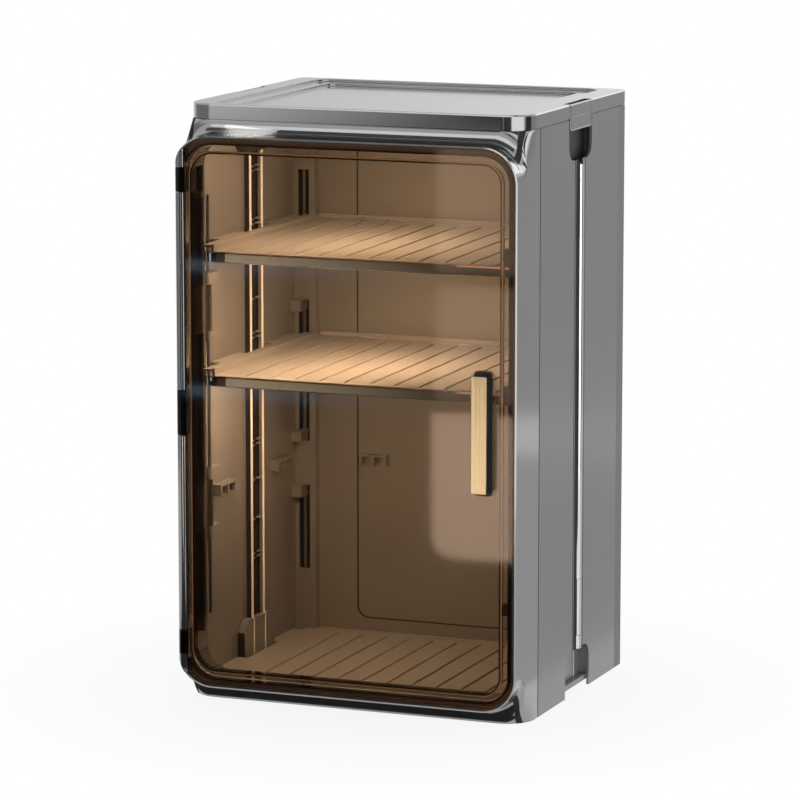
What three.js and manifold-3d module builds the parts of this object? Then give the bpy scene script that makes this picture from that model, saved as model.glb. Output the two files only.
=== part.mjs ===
// Folding storage cabinet for cups: a grey moulded plastic case with a lift-off latched lid, two ribbed
// shelves, a ribbed floor and a transparent brown door hinged on its left edge.
// Millimetres, +Z up, -Y is the front (door side), +X is the right. The origin is the middle of the
// footprint, on the surface that the cabinet stands on.
import * as THREE from "three";
import { mergeVertices } from "three/addons/utils/BufferGeometryUtils.js";
import Module from "manifold-3d";

const wasm = await Module();
wasm.setup();

// Overall sizes
const bodyWidth = 380;
const bodyDepth = 314;
const bodyHeight = 632;
const doorReach = 28.8; // from the lid's front face forward to the rim round the door

// Case
const skin = 2.8; // wall of the folding side panels
const frontCornerRadius = 30;
const rearCornerRadius = 8;
const frontSeam = 41.5; // behind the lid's front face: front frame ends, side panels begin
const rearSeam = 28; // in front of the back face: side panels end, back panel begins
const postReach = 22; // the front frame's thick posts end this far behind the lid's front face
const seamGap = 0.3;
const seatGap = 0.3;

// Rim round the door, and the window behind it
const rimTopDrop = 14; // below the lid's seam
const rimFootRise = 17; // above the ground
const rimCornerRadius = 38;
const rimWall = 2;
const rimDepth = 12.8;
const neckReach = 14; // the concave neck behind the rim starts this far ahead of the lid's front face
const neckCornerHeight = 40;
const neckCornerRun = 36;
const windowInset = 13;
const windowEndInset = 10;
const windowCornerRadius = 26;
const postPocketDepth = 7;
const postPocketMargin = 5;

// Lid
const lidHeight = 16;
const lidWall = 3;
const lidPlate = 2.5;
const lidSideRim = 26;
const lidEndRim = 9;
const lidStepDrop = 2.7;
const lidStepWidth = 18;
const lidPanelDrop = 2.8;
const lidRecessRadius = 20;
const lidLipDepth = 8;
const lidLipWall = 1.8;
const lidLipInset = 0.5; // from the walls that the lip locates in

// Lid latches
const latchWidth = 68;
const latchHeight = 28;
const latchPlate = 2.2;
const latchProud = 0.5;
const latchBarrelRadius = 2.3;
const latchPinRadius = 1.1;
const latchAxisDrop = 2.9; // below the lid's top
const latchNoseHeight = 3.2;
const latchNoseRise = 2.4; // above the latch's lower edge
const latchNoseReach = 1.6;
const latchLipHeight = 1.2;
const latchGrooveDepth = 0.6;
const latchSlotGap = 0.8;

// Folding sides: each half runs from a corner seam to the middle hinge
const barrelRadius = 4;
const barrelRodRadius = 1.6;
const barrelGap = 0.8;
const knuckleGap = 0.4;
const barrelTopDrop = 65; // from the lid's top to the upper end of the barrel
// Shares of the barrel's length at which the knuckles of one half give way to those of the other
const knuckleShares = [0, 0.028, 0.146, 0.383, 0.617, 0.852, 0.971, 1];
const railReach = 7.7; // how far the middle rail stands in from the side wall
const railHalfWidth = 16.5;
const railWall = 2;
const rungThickness = 1.5;
const rungPitch = 5; // between the two rungs of a pair
const rungReach = 6;
// Shares of the barrel's length at which the rungs stand
const pairedRungShares = [0.142, 0.383, 0.611, 0.85, 0.961];
const singleRungShares = [0.22, 0.304, 0.688];
const grooveWidth = 1.6;
const grooveDepth = 0.8;

// Corner hinges, inside the case
const cornerRodRadius = 2;
const cornerBossRadius = 3.6;
const cornerRodInset = 11; // from the outer side face
const cornerRodSetback = 8; // from the seam, into the frame or the back panel
const cornerBossLength = 50;
const cornerBossShares = [0.33, 0.67]; // of the height of the sides, to the middle of each band of lugs
const panelLugHeight = 12;
const panelLugLength = 12;
const cornerRodEnd = 83.5; // from the ends of the sides to the ends of the rods

// Finger recesses under the latches and arched notches at the foot of the sides
const recessWidth = 72;
const recessDrop = 60; // from the lid's top to the bottom of the recess
const recessRadius = 16;
const notchWidth = 76;
const notchHeight = 48;
const cupMargin = 4;
const cupWall = 2;
const cupReach = 8.4;
const cupTopGap = 3; // between the lid's seam and the cup
const cupTopWall = 2.5;

// Shelf supports
const supportTopDrop = 135.8; // from the lid's seam to the highest supports
const supportPitch = 131.5;
const supportCount = 3;
const pegLength = 40;
const pegHeight = 12;
const pegReach = 9.7;
const pegTopPlate = 2.5;
const pegRib = 3;
const frontPegStart = 18.5; // from the front seam
const rearPegStart = 30; // from the rear seam
const backPegWidth = 32;
const backPegShare = 0.5; // of the half width, to the middle of each support on the back

// Back panel
const postWidth = 27;
const backPlateSetback = 11; // from the front of its posts to the plate
const backPlate = 3.5;
const backRim = 14;
const backRibWidth = 3;
const backRibReach = 9;
const backInsetSide = 72.5;
const backInsetDepth = 1.2;
const backInsetRadius = 14;
const backInsetFoot = 29.5;
const backInsetTopDrop = 20; // below the lid's seam
const backPocketInset = 7; // outer side face to the pocket
const backPocketWidth = 13;

// Base and floor
const footLedge = 5.7;
const ledgeReach = 7;
const baseThickness = 6;
const floorPlate = 3.6;
const floorRibHeight = 1.8;

// Shelves
const shelfPlate = 2.5;
const shelfRibHeight = 1.5;
const shelfRimHeight = 4.5;
const shelfRimWidth = 2.5;
const shelfSkirt = 18.5;
const shelfSkirtWall = 2.4;
const shelfFront = 8; // behind the lid's front face
const ribCount = 11;
const ribGroove = 5; // between two ribs
const ribSideMargin = 34; // to the middle of the outermost ribs
const ribEndMargin = 12;
const fingerDipWidth = 52;
const fingerDipSpan = 9; // from its front edge to its rear edge
const fingerDipRear = 9; // behind the dip
const fingerDipDrop = 1.2;
const wingGap = 1.2; // between a shelf's wing and the side wall
const innerGap = 1.4; // between a shelf and what stands in from the side wall
const barHeight = 11;
const barThickness = 2.4;

// Door
const doorPlate = 3;
const doorGap = 0.8;
const doorWallDepth = 10;
const doorWall = 1.5;
const doorWallInset = 5.5; // from the door's edge to the wall behind it
const doorHingeRelief = 5; // more corner radius on the hinge side, so that the door swings clear of the rim
const doorLipInset = 14.7;
const doorLipWall = 1.5;
const hingeRadius = 6;
const hingeRodRadius = 2;
const hingeHoleGap = 0.4;
const hingeKnuckleGap = 0.6;
const hingeEndInset = 34; // from the ends of the rim
const hingeEndLength = 26;
const hingeMiddleLength = 48;
const leafWidth = 10;
const leafThickness = 1.6;
const leafEdgeWidth = 5;
const leafEdgeHeight = 2;
const leafRibMargin = 40;
const leafRibThickness = 1.4;
const leafRibCount = 7;
const catchInset = 109; // from the ends of the rim
const catchSize = 7;
const catchHeight = 11;
const catchThickness = 6.6;
const strikeThickness = 1.2;

// Handle
const handleInset = 35; // from the outer side face to the middle of the handle
const handleWidth = 16.4;
const handleLength = 121;
const handleBodyDepth = 11;
const handleStripDepth = 2.4;
const handleBaseSideMargin = 5.5;
const handleBaseEndMargin = 4.5;
const handleBaseThickness = 1.6;
const handleBaseRadius = 9;
const handleFrame = 2;
const handlePanelDrop = 0.6;
const handleGrooveCount = 3;
const handleGrooveWidth = 1.6;
const handleGrooveDepth = 0.7;
const handleGrooveEndMargin = 9;

// Places that follow from the sizes. The cabinet's own frame has y = 0 at the lid's front face.
const halfWidth = bodyWidth / 2;
const innerX = halfWidth - skin;
const middleY = (frontSeam + bodyDepth - rearSeam) / 2;
const rearSeamY = bodyDepth - rearSeam;
const backPlateY = rearSeamY + backPlateSetback;
const seamZ = bodyHeight - lidHeight;
const wallTop = seamZ - seamGap;
const rimFrontY = -doorReach;
const flangeY = rimFrontY + rimDepth;
const rimTopZ = seamZ - rimTopDrop;
const windowHalfWidth = halfWidth - windowInset;
const windowTopZ = rimTopZ - windowEndInset;
const windowFootZ = rimFootRise + windowEndInset;
const cornerRodX = halfWidth - cornerRodInset;
const railX = innerX - railReach;
const baseTop = footLedge + seatGap + baseThickness;
const rimMiddleZ = (rimFootRise + rimTopZ) / 2;
const barrelFootZ = notchHeight;
const barrelTopZ = bodyHeight - barrelTopDrop;
const alongBarrel = (share) => barrelFootZ + share * (barrelTopZ - barrelFootZ);
const knuckleHeights = knuckleShares.map(alongBarrel);
const cornerRodFoot = cornerRodEnd;
const cornerRodTop = seamZ - cornerRodEnd;
const cornerBossBands = cornerBossShares.map((share) => [
  share * seamZ - cornerBossLength / 2,
  share * seamZ + cornerBossLength / 2,
]);
const supportFirstTop = seamZ - supportTopDrop - (supportCount - 1) * supportPitch;
const hingeKnuckles = [
  [rimFootRise + hingeEndInset, rimFootRise + hingeEndInset + hingeEndLength],
  [rimMiddleZ - hingeMiddleLength / 2, rimMiddleZ + hingeMiddleLength / 2],
  [rimTopZ - hingeEndInset - hingeEndLength, rimTopZ - hingeEndInset],
];
const catchHeights = [rimFootRise + catchInset, rimTopZ - catchInset];
const handleCentreX = halfWidth - handleInset;
const handleCentreZ = rimMiddleZ;
const handleReach = handleBaseThickness + handleBodyDepth + handleStripDepth + 3 * seatGap;
const cupHalf = notchWidth / 2 + cupMargin;
const hingeX = halfWidth - hingeRadius;
const hingeY = rimFrontY + hingeRadius;
const doorLeft = -hingeX + hingeRadius + doorGap;
const doorRight = halfWidth - rimWall - doorGap;
const doorFoot = rimFootRise + rimWall + doorGap;
const doorTop = rimTopZ - rimWall - doorGap;
const doorRadius = rimCornerRadius - rimWall - doorGap;
const hingeSideRadius = doorRadius + doorHingeRelief;
const doorBackY = rimFrontY + doorWallDepth;
const catchX = doorRight - (doorWallInset + doorWall + doorLipInset) / 2;
const over = 2; // overrun of every cut past the face that it opens

// Materials
const finish = (color, roughness, metalness) =>
  new THREE.MeshStandardMaterial({ color, roughness, metalness });
const greyPlastic = finish(0x7c7c7b, 0.32, 0);
const greyPanel = finish(0x7e7e7d, 0.42, 0);
const darkPlastic = finish(0x2a2a2b, 0.4, 0);
const shelfPlastic = finish(0x8a8682, 0.35, 0);
const steel = finish(0x9aa0a6, 0.28, 1);
const gold = finish(0xd9bd85, 0.25, 1);
const brownClear = new THREE.MeshStandardMaterial({
  color: 0x6b4a2c,
  roughness: 0.08,
  metalness: 0,
  transparent: true,
  opacity: 0.45,
});

// Solids
const solid = (geometry) => {
  geometry.deleteAttribute("normal");
  geometry.deleteAttribute("uv");
  const merged = mergeVertices(geometry);
  return new wasm.Manifold(
    new wasm.Mesh({
      numProp: 3,
      vertProperties: merged.attributes.position.array,
      triVerts: new Uint32Array(merged.index.array),
    }),
  );
};

const box = (x0, x1, y0, y1, z0, z1) =>
  solid(
    new THREE.BoxGeometry(x1 - x0, y1 - y0, z1 - z0).translate(
      (x0 + x1) / 2,
      (y0 + y1) / 2,
      (z0 + z1) / 2,
    ),
  );

const post = (x, y, z0, z1, radius, sides = 12) =>
  solid(
    new THREE.CylinderGeometry(radius, radius, z1 - z0, sides)
      .rotateX(Math.PI / 2)
      .translate(x, y, (z0 + z1) / 2),
  );

const crossRod = (x, z, y0, y1, radius, sides = 12) =>
  solid(new THREE.CylinderGeometry(radius, radius, y1 - y0, sides).translate(x, (y0 + y1) / 2, z));

const joined = (...solids) => solids.reduce((sum, next) => sum.add(next));
const without = (whole, ...cuts) => cuts.reduce((rest, cut) => rest.subtract(cut), whole);

// A rectangle from (u0, v0) to (u1, v1) whose corners are arcs: radii run from the low-u low-v corner,
// anticlockwise.
const roundedRectangle = (u0, u1, v0, v1, [r0, r1, r2, r3]) => {
  const quarter = Math.PI / 2;
  const shape = new THREE.Shape();
  shape.moveTo(u0 + r0, v0);
  shape.lineTo(u1 - r1, v0);
  if (r1) shape.absarc(u1 - r1, v0 + r1, r1, -quarter, 0, false);
  shape.lineTo(u1, v1 - r2);
  if (r2) shape.absarc(u1 - r2, v1 - r2, r2, 0, quarter, false);
  shape.lineTo(u0 + r3, v1);
  if (r3) shape.absarc(u0 + r3, v1 - r3, r3, quarter, 2 * quarter, false);
  shape.lineTo(u0, v0 + r0);
  if (r0) shape.absarc(u0 + r0, v0 + r0, r0, 2 * quarter, 3 * quarter, false);
  shape.closePath();
  return shape;
};
const evenly = (radius) => [radius, radius, radius, radius];

const polygon = (points) => {
  const shape = new THREE.Shape();
  points.forEach(([u, v], i) => (i ? shape.lineTo(u, v) : shape.moveTo(u, v)));
  shape.closePath();
  return shape;
};

const extruded = (shape, depth, curveSegments) =>
  new THREE.ExtrudeGeometry(shape, { depth, bevelEnabled: false, curveSegments });

// An outline in x and y, raised from z0 to z1.
const raised = (shape, z0, z1, curveSegments = 6) =>
  solid(extruded(shape, z1 - z0, curveSegments).translate(0, 0, z0));

// An outline in x and z, run from y0 back to y1.
const runBack = (shape, y0, y1, curveSegments = 7) =>
  solid(
    extruded(shape, y1 - y0, curveSegments)
      .rotateX(Math.PI / 2)
      .translate(0, y1, 0),
  );

// An outline in y and z, run from x0 across to x1.
const runAcross = (shape, x0, x1, curveSegments = 6) =>
  solid(
    extruded(shape, x1 - x0, curveSegments)
      .applyMatrix4(new THREE.Matrix4().set(0, 0, 1, 0, 1, 0, 0, 0, 0, 1, 0, 0, 0, 0, 0, 1))
      .translate(x0, 0, 0),
  );

// A closed skin over outlines that all have as many points, set one behind the other.
const lofted = (rings) => {
  const count = rings[0].length;
  const vertices = rings.flat();
  const faces = [];
  for (let ring = 0; ring < rings.length - 1; ring += 1) {
    for (let i = 0; i < count; i += 1) {
      const a = ring * count + i;
      const b = ring * count + ((i + 1) % count);
      faces.push([a, b + count, b], [a, a + count, b + count]);
    }
  }
  const last = (rings.length - 1) * count;
  for (let i = 1; i < count - 1; i += 1) {
    faces.push([0, i, i + 1], [last, last + i + 1, last + i]);
  }
  return new wasm.Manifold(
    new wasm.Mesh({
      numProp: 3,
      vertProperties: new Float32Array(vertices.flat()),
      triVerts: new Uint32Array(faces.flat()),
    }),
  );
};

const geometryOf = (manifold) => {
  const mesh = manifold.getMesh();
  const geometry = new THREE.BufferGeometry();
  const positions = new Float32Array(mesh.numVert * 3);
  for (let i = 0; i < mesh.numVert; i += 1) {
    positions.set(mesh.vertProperties.subarray(i * mesh.numProp, i * mesh.numProp + 3), i * 3);
  }
  geometry.setAttribute("position", new THREE.BufferAttribute(positions, 3));
  geometry.setIndex(new THREE.BufferAttribute(mesh.triVerts, 1));
  return geometry;
};

// The mirror image of a geometry across the planes where sx or sy is -1, with its faces turned back out.
const mirrored = (geometry, sx, sy) => {
  const copy = geometry.clone().scale(sx, sy, 1);
  if (sx * sy < 0) {
    const index = copy.index.array;
    for (let i = 0; i < index.length; i += 3) {
      [index[i + 1], index[i + 2]] = [index[i + 2], index[i + 1]];
    }
  }
  return copy;
};

const cabinet = new THREE.Group();
cabinet.position.y = (doorReach + handleReach - bodyDepth) / 2;

const place = (name, geometry, material, parent = cabinet) => {
  const mesh = new THREE.Mesh(geometry, material);
  mesh.name = name;
  parent.add(mesh);
  return mesh;
};

const sides = [
  { name: "left", sign: -1 },
  { name: "right", sign: 1 },
];

// Front frame: one moulding from the rim round the door back to the side seams. Its outline in x and z
// grows from the rounded rim, through a concave neck, to the full height of the case.
const frameOutline = (y) => {
  const cornerSteps = 7;
  let top = rimTopZ;
  let foot = rimFootRise;
  let across = rimCornerRadius;
  let down = rimCornerRadius;
  if (y > -neckReach && y <= 0) {
    const share = (y + neckReach) / neckReach;
    const open = 1 - Math.sqrt(Math.max(0, 1 - share * share));
    top = rimTopZ + rimTopDrop * open;
    foot = rimFootRise * (1 - open);
    across = rimCornerRadius + (frontCornerRadius - rimCornerRadius) * open;
    down = rimCornerRadius + (neckCornerHeight - rimCornerRadius) * open;
  } else if (y > 0) {
    const ahead = Math.max(0, frontCornerRadius - y);
    top = seamZ - seamGap;
    foot = 0;
    across = frontCornerRadius - Math.sqrt(frontCornerRadius ** 2 - ahead ** 2);
    down = neckCornerHeight * Math.sqrt(Math.max(0, 1 - (y / neckCornerRun) ** 2));
  }
  top = Math.min(top, wallTop);
  across = Math.max(across, seamGap);
  down = Math.max(down, seamGap);
  const points = [];
  const corners = [
    [halfWidth - across, foot + down, -1],
    [halfWidth - across, top - down, 0],
    [across - halfWidth, top - down, 1],
    [across - halfWidth, foot + down, 2],
  ];
  for (const [x, z, quarter] of corners) {
    for (let step = 0; step <= cornerSteps; step += 1) {
      const angle = (quarter + step / cornerSteps) * (Math.PI / 2);
      points.push([x + across * Math.cos(angle), y, z + down * Math.sin(angle)]);
    }
  }
  return points;
};

const neckShares = [0.35, 0.6, 0.8, 0.93, 1];
const cornerShares = [0.1, 0.27, 0.5, 0.75, 1];
const frameSteps = [
  rimFrontY,
  -neckReach,
  ...neckShares.map((share) => -neckReach * (1 - share)),
  ...cornerShares.map((share) => frontCornerRadius * share),
  frontSeam,
];

// The column that carries the door hinge down the left edge of the rim, cut away at the door's knuckles.
const hingeColumn = () => {
  const column = joined(
    post(-hingeX, hingeY, rimFootRise, rimTopZ, hingeRadius, 20),
    box(-halfWidth, -hingeX + hingeRadius, hingeY, flangeY + over, rimFootRise, rimTopZ),
  );
  const inRim = runBack(
    roundedRectangle(-halfWidth, halfWidth, rimFootRise, rimTopZ, evenly(rimCornerRadius)),
    rimFrontY - over,
    flangeY + over,
  );
  const knuckleSpaces = hingeKnuckles.map(([z0, z1]) =>
    box(
      -halfWidth - over,
      -hingeX + hingeRadius + over,
      rimFrontY - over,
      flangeY,
      z0 - hingeKnuckleGap,
      z1 + hingeKnuckleGap,
    ),
  );
  const bore = post(-hingeX, hingeY, hingeFoot, hingeTop, hingeRodRadius + hingeHoleGap);
  return without(column.intersect(inRim), ...knuckleSpaces, bore);
};
const hingeFoot = hingeKnuckles[0][0] - hingeRadius;
const hingeTop = hingeKnuckles[2][1] + hingeRadius;

// Lugs of the frame or the back panel round a corner hinge rod, with the rod's bore cut through.
const cornerBosses = (sign, y, wallY) => {
  const x = sign * cornerRodX;
  const bosses = cornerBossBands.map(([z0, z1]) =>
    joined(
      post(x, y, z0, z1, cornerBossRadius),
      box(
        Math.min(x, sign * innerX) - (sign > 0 ? 0 : over / 2),
        Math.max(x, sign * innerX) + (sign > 0 ? over / 2 : 0),
        Math.min(y - cornerBossRadius, wallY),
        Math.max(y + cornerBossRadius, wallY),
        z0,
        z1,
      ),
    ),
  );
  return joined(...bosses);
};
const cornerBore = (sign, y) =>
  post(
    sign * cornerRodX,
    y,
    cornerRodFoot - over,
    cornerRodTop + over,
    cornerRodRadius + hingeHoleGap,
  );

const frontRodY = frontSeam - cornerRodSetback;
const rearRodY = rearSeamY + cornerRodSetback;

// Blind pockets down the inside of each front post, between the bands of the corner hinge.
const pocketBands = [
  [cornerRodFoot, cornerBossBands[0][0]],
  [cornerBossBands[0][1], cornerBossBands[1][0]],
  [cornerBossBands[1][1], cornerRodTop],
  [cornerRodTop + postPocketMargin, windowTopZ - windowCornerRadius],
];

const frontFrame = () => {
  const rimHole = runBack(
    roundedRectangle(
      -halfWidth + rimWall,
      halfWidth - rimWall,
      rimFootRise + rimWall,
      rimTopZ - rimWall,
      evenly(rimCornerRadius - rimWall),
    ),
    rimFrontY - over,
    flangeY,
  );
  const hingeSide = box(
    -halfWidth - over,
    -hingeX,
    rimFrontY - over,
    flangeY,
    rimFootRise + rimWall,
    rimTopZ - rimWall,
  );
  const window = runBack(
    roundedRectangle(
      -windowHalfWidth,
      windowHalfWidth,
      windowFootZ,
      windowTopZ,
      evenly(windowCornerRadius),
    ),
    flangeY - over,
    postReach + over,
  );
  const rearRoom = box(-innerX, innerX, postReach, frontSeam + over, footLedge, bodyHeight);
  const pockets = sides.flatMap(({ sign }) =>
    pocketBands.map(([z0, z1]) => {
      const inner = sign * (windowHalfWidth - over);
      const outer = sign * (windowHalfWidth + postPocketDepth);
      return box(
        Math.min(inner, outer),
        Math.max(inner, outer),
        flangeY + postPocketMargin,
        postReach - postPocketMargin,
        z0,
        z1,
      );
    }),
  );
  const strikes = catchHeights.map((z) =>
    box(
      catchX - catchSize / 2 - seatGap,
      catchX + catchSize / 2 + seatGap,
      flangeY - over,
      flangeY + strikeThickness + seatGap,
      z - catchHeight / 2 - seatGap,
      z + catchHeight / 2 + seatGap,
    ),
  );
  const shell = without(
    lofted(frameSteps.map(frameOutline)),
    rimHole,
    hingeSide,
    window,
    rearRoom,
    ...pockets,
    ...strikes,
  );
  const bosses = sides.map(({ sign }) => cornerBosses(sign, frontRodY, postReach));
  return without(
    joined(shell, hingeColumn(), ...bosses),
    cornerBore(-1, frontRodY),
    cornerBore(1, frontRodY),
  );
};

place("front_frame", geometryOf(frontFrame()), greyPlastic);

sides.forEach(({ name, sign }) => {
  const rod = geometryOf(post(0, 0, cornerRodFoot, cornerRodTop, cornerRodRadius));
  place(`${name}_front_hinge_rod`, rod, steel).position.set(sign * cornerRodX, frontRodY, 0);
  place(`${name}_rear_hinge_rod`, rod, steel).position.set(sign * cornerRodX, rearRodY, 0);
});

// Folding side halves, drawn for the right-hand side in x, t and z, where t is 0 at the corner seam and
// runs to the middle hinge.
const halfSpan = middleY - frontSeam;
const recessTopZ = seamZ;
const recessFootZ = bodyHeight - recessDrop;
const cupFootZ = recessFootZ - cupMargin - cupWall;
const housingTop = notchHeight + cupMargin + cupWall;

const sideHalf = (knuckleParity, pegStart) => {
  const skinEnd = halfSpan - barrelRadius - barrelGap;
  const wall = box(innerX, halfWidth, seamGap / 2, skinEnd, 0, wallTop);
  const knuckles = [];
  for (let i = knuckleParity; i < knuckleHeights.length - 1; i += 2) {
    const z0 = knuckleHeights[i] + knuckleGap / 2;
    const z1 = knuckleHeights[i + 1] - knuckleGap / 2;
    knuckles.push(
      post(halfWidth, halfSpan, z0, z1, barrelRadius, 16),
      box(innerX, halfWidth, skinEnd - over, halfSpan, z0, z1),
    );
  }
  const railFoot = housingTop + seatGap;
  const railTop = cupFootZ - seatGap;
  const railSide = box(
    railX,
    innerX + skin / 2,
    halfSpan - railHalfWidth,
    halfSpan - railHalfWidth + railWall,
    railFoot,
    railTop,
  );
  const rungHeights = [
    ...pairedRungShares.map(alongBarrel).flatMap((z) => [z - rungPitch / 2, z + rungPitch / 2]),
    ...singleRungShares.map(alongBarrel),
  ];
  const rungs = rungHeights.map((z) =>
    box(
      innerX - rungReach,
      innerX + skin / 2,
      halfSpan - railHalfWidth + railWall / 2,
      skinEnd,
      z - rungThickness / 2,
      z + rungThickness / 2,
    ),
  );
  const pegs = [];
  for (let level = 0; level < supportCount; level += 1) {
    const top = supportFirstTop + level * supportPitch;
    const bay = (pegLength - 3 * pegRib) / 2;
    const ledge = box(
      innerX - pegReach,
      innerX + skin / 2,
      pegStart,
      pegStart + pegLength,
      top - pegHeight,
      top,
    );
    const bays = [0, 1].map((i) => {
      const t = pegStart + pegRib + i * (bay + pegRib);
      return box(
        innerX - pegReach - over,
        innerX,
        t,
        t + bay,
        top - pegHeight - over,
        top - pegTopPlate,
      );
    });
    pegs.push(without(ledge, ...bays));
  }
  const lugs = cornerBossBands.flatMap(([z0, z1]) =>
    [z0 - seamGap - panelLugHeight, z1 + seamGap].map((z) =>
      joined(
        post(cornerRodX, -cornerRodSetback, z, z + panelLugHeight, cornerBossRadius),
        box(
          cornerRodX - cornerBossRadius,
          cornerRodX + cornerBossRadius,
          -cornerRodSetback,
          panelLugLength,
          z,
          z + panelLugHeight,
        ),
        box(cornerRodX, innerX + skin / 2, seamGap, panelLugLength, z, z + panelLugHeight),
      ),
    ),
  );
  const recess = runAcross(
    roundedRectangle(
      halfSpan - recessWidth / 2,
      halfSpan + recessWidth / 2,
      recessFootZ,
      recessTopZ + over,
      [recessRadius, recessRadius, 0, 0],
    ),
    innerX - over,
    halfWidth + barrelRadius + over,
  );
  const notch = runAcross(
    roundedRectangle(halfSpan - notchWidth / 2, halfSpan + notchWidth / 2, -over, notchHeight, [
      0,
      0,
      recessRadius,
      recessRadius,
    ]),
    innerX - over,
    halfWidth + barrelRadius + over,
  );
  const groove = box(
    halfWidth - grooveDepth,
    halfWidth + over,
    halfSpan - railHalfWidth,
    halfSpan - railHalfWidth + grooveWidth,
    notchHeight - over,
    recessFootZ + over,
  );
  const rodBore = post(halfWidth, halfSpan, 0, seamZ, barrelRodRadius + hingeHoleGap, 10);
  const barrelBack = box(innerX - barrelRadius, innerX, skinEnd, halfSpan + barrelRadius + over, 0, seamZ);
  const cornerRodBore = post(
    cornerRodX,
    -cornerRodSetback,
    cornerRodFoot - over,
    cornerRodTop + over,
    cornerRodRadius + hingeHoleGap,
  );
  return geometryOf(
    without(
      joined(wall, ...knuckles, railSide, ...rungs, ...pegs, ...lugs),
      recess,
      notch,
      groove,
      rodBore,
      barrelBack,
      cornerRodBore,
    ),
  );
};

const frontHalf = sideHalf(0, frontPegStart);
const rearHalf = sideHalf(1, rearPegStart);
sides.forEach(({ name, sign }) => {
  const front = place(`${name}_front_panel`, mirrored(frontHalf, sign, 1), greyPanel);
  front.position.y = frontSeam;
  const rear = place(`${name}_rear_panel`, mirrored(rearHalf, sign, -1), greyPanel);
  rear.position.y = rearSeamY;
});

const middleRod = geometryOf(
  post(0, 0, knuckleHeights[0] + knuckleGap, knuckleHeights[7] - knuckleGap, barrelRodRadius, 10),
);
sides.forEach(({ name, sign }) => {
  place(`${name}_middle_hinge_rod`, middleRod, steel).position.set(sign * halfWidth, middleY, 0);
});

// Cup behind each finger recess, and housing over each notch, both open to the outside.
const cupOuterX = innerX - seatGap;
const recessCup = () => {
  const top = seamZ - cupTopGap;
  const block = runAcross(
    roundedRectangle(-cupHalf, cupHalf, cupFootZ, top, [recessRadius, recessRadius, 0, 0]),
    cupOuterX - cupReach,
    cupOuterX,
  );
  const hollow = runAcross(
    roundedRectangle(
      -cupHalf + cupWall,
      cupHalf - cupWall,
      cupFootZ + cupWall,
      top - cupTopWall,
      [recessRadius - cupWall, recessRadius - cupWall, 0, 0],
    ),
    cupOuterX - cupReach + cupWall,
    cupOuterX + over,
  );
  const noseRoom = box(
    cupOuterX - latchNoseReach / 2,
    cupOuterX + over,
    -latchWidth / 2 - latchSlotGap,
    latchWidth / 2 + latchSlotGap,
    top - cupTopWall - over,
    top + over,
  );
  return geometryOf(without(block, hollow, noseRoom));
};

const notchHousing = () => {
  const foot = baseTop + seatGap;
  const block = runAcross(
    roundedRectangle(-cupHalf, cupHalf, foot, housingTop, [0, 0, recessRadius, recessRadius]),
    cupOuterX - cupReach,
    cupOuterX,
  );
  const hollow = runAcross(
    roundedRectangle(-cupHalf + cupWall, cupHalf - cupWall, foot - over, housingTop - cupWall, [
      0,
      0,
      recessRadius - cupWall,
      recessRadius - cupWall,
    ]),
    cupOuterX - cupReach + cupWall,
    cupOuterX + over,
  );
  return geometryOf(without(block, hollow));
};

const cupGeometry = recessCup();
const housingGeometry = notchHousing();
sides.forEach(({ name, sign }) => {
  place(`${name}_recess_cup`, mirrored(cupGeometry, sign, 1), darkPlastic).position.y = middleY;
  place(`${name}_notch_housing`, mirrored(housingGeometry, sign, 1), greyPanel).position.y = middleY;
});

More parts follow.
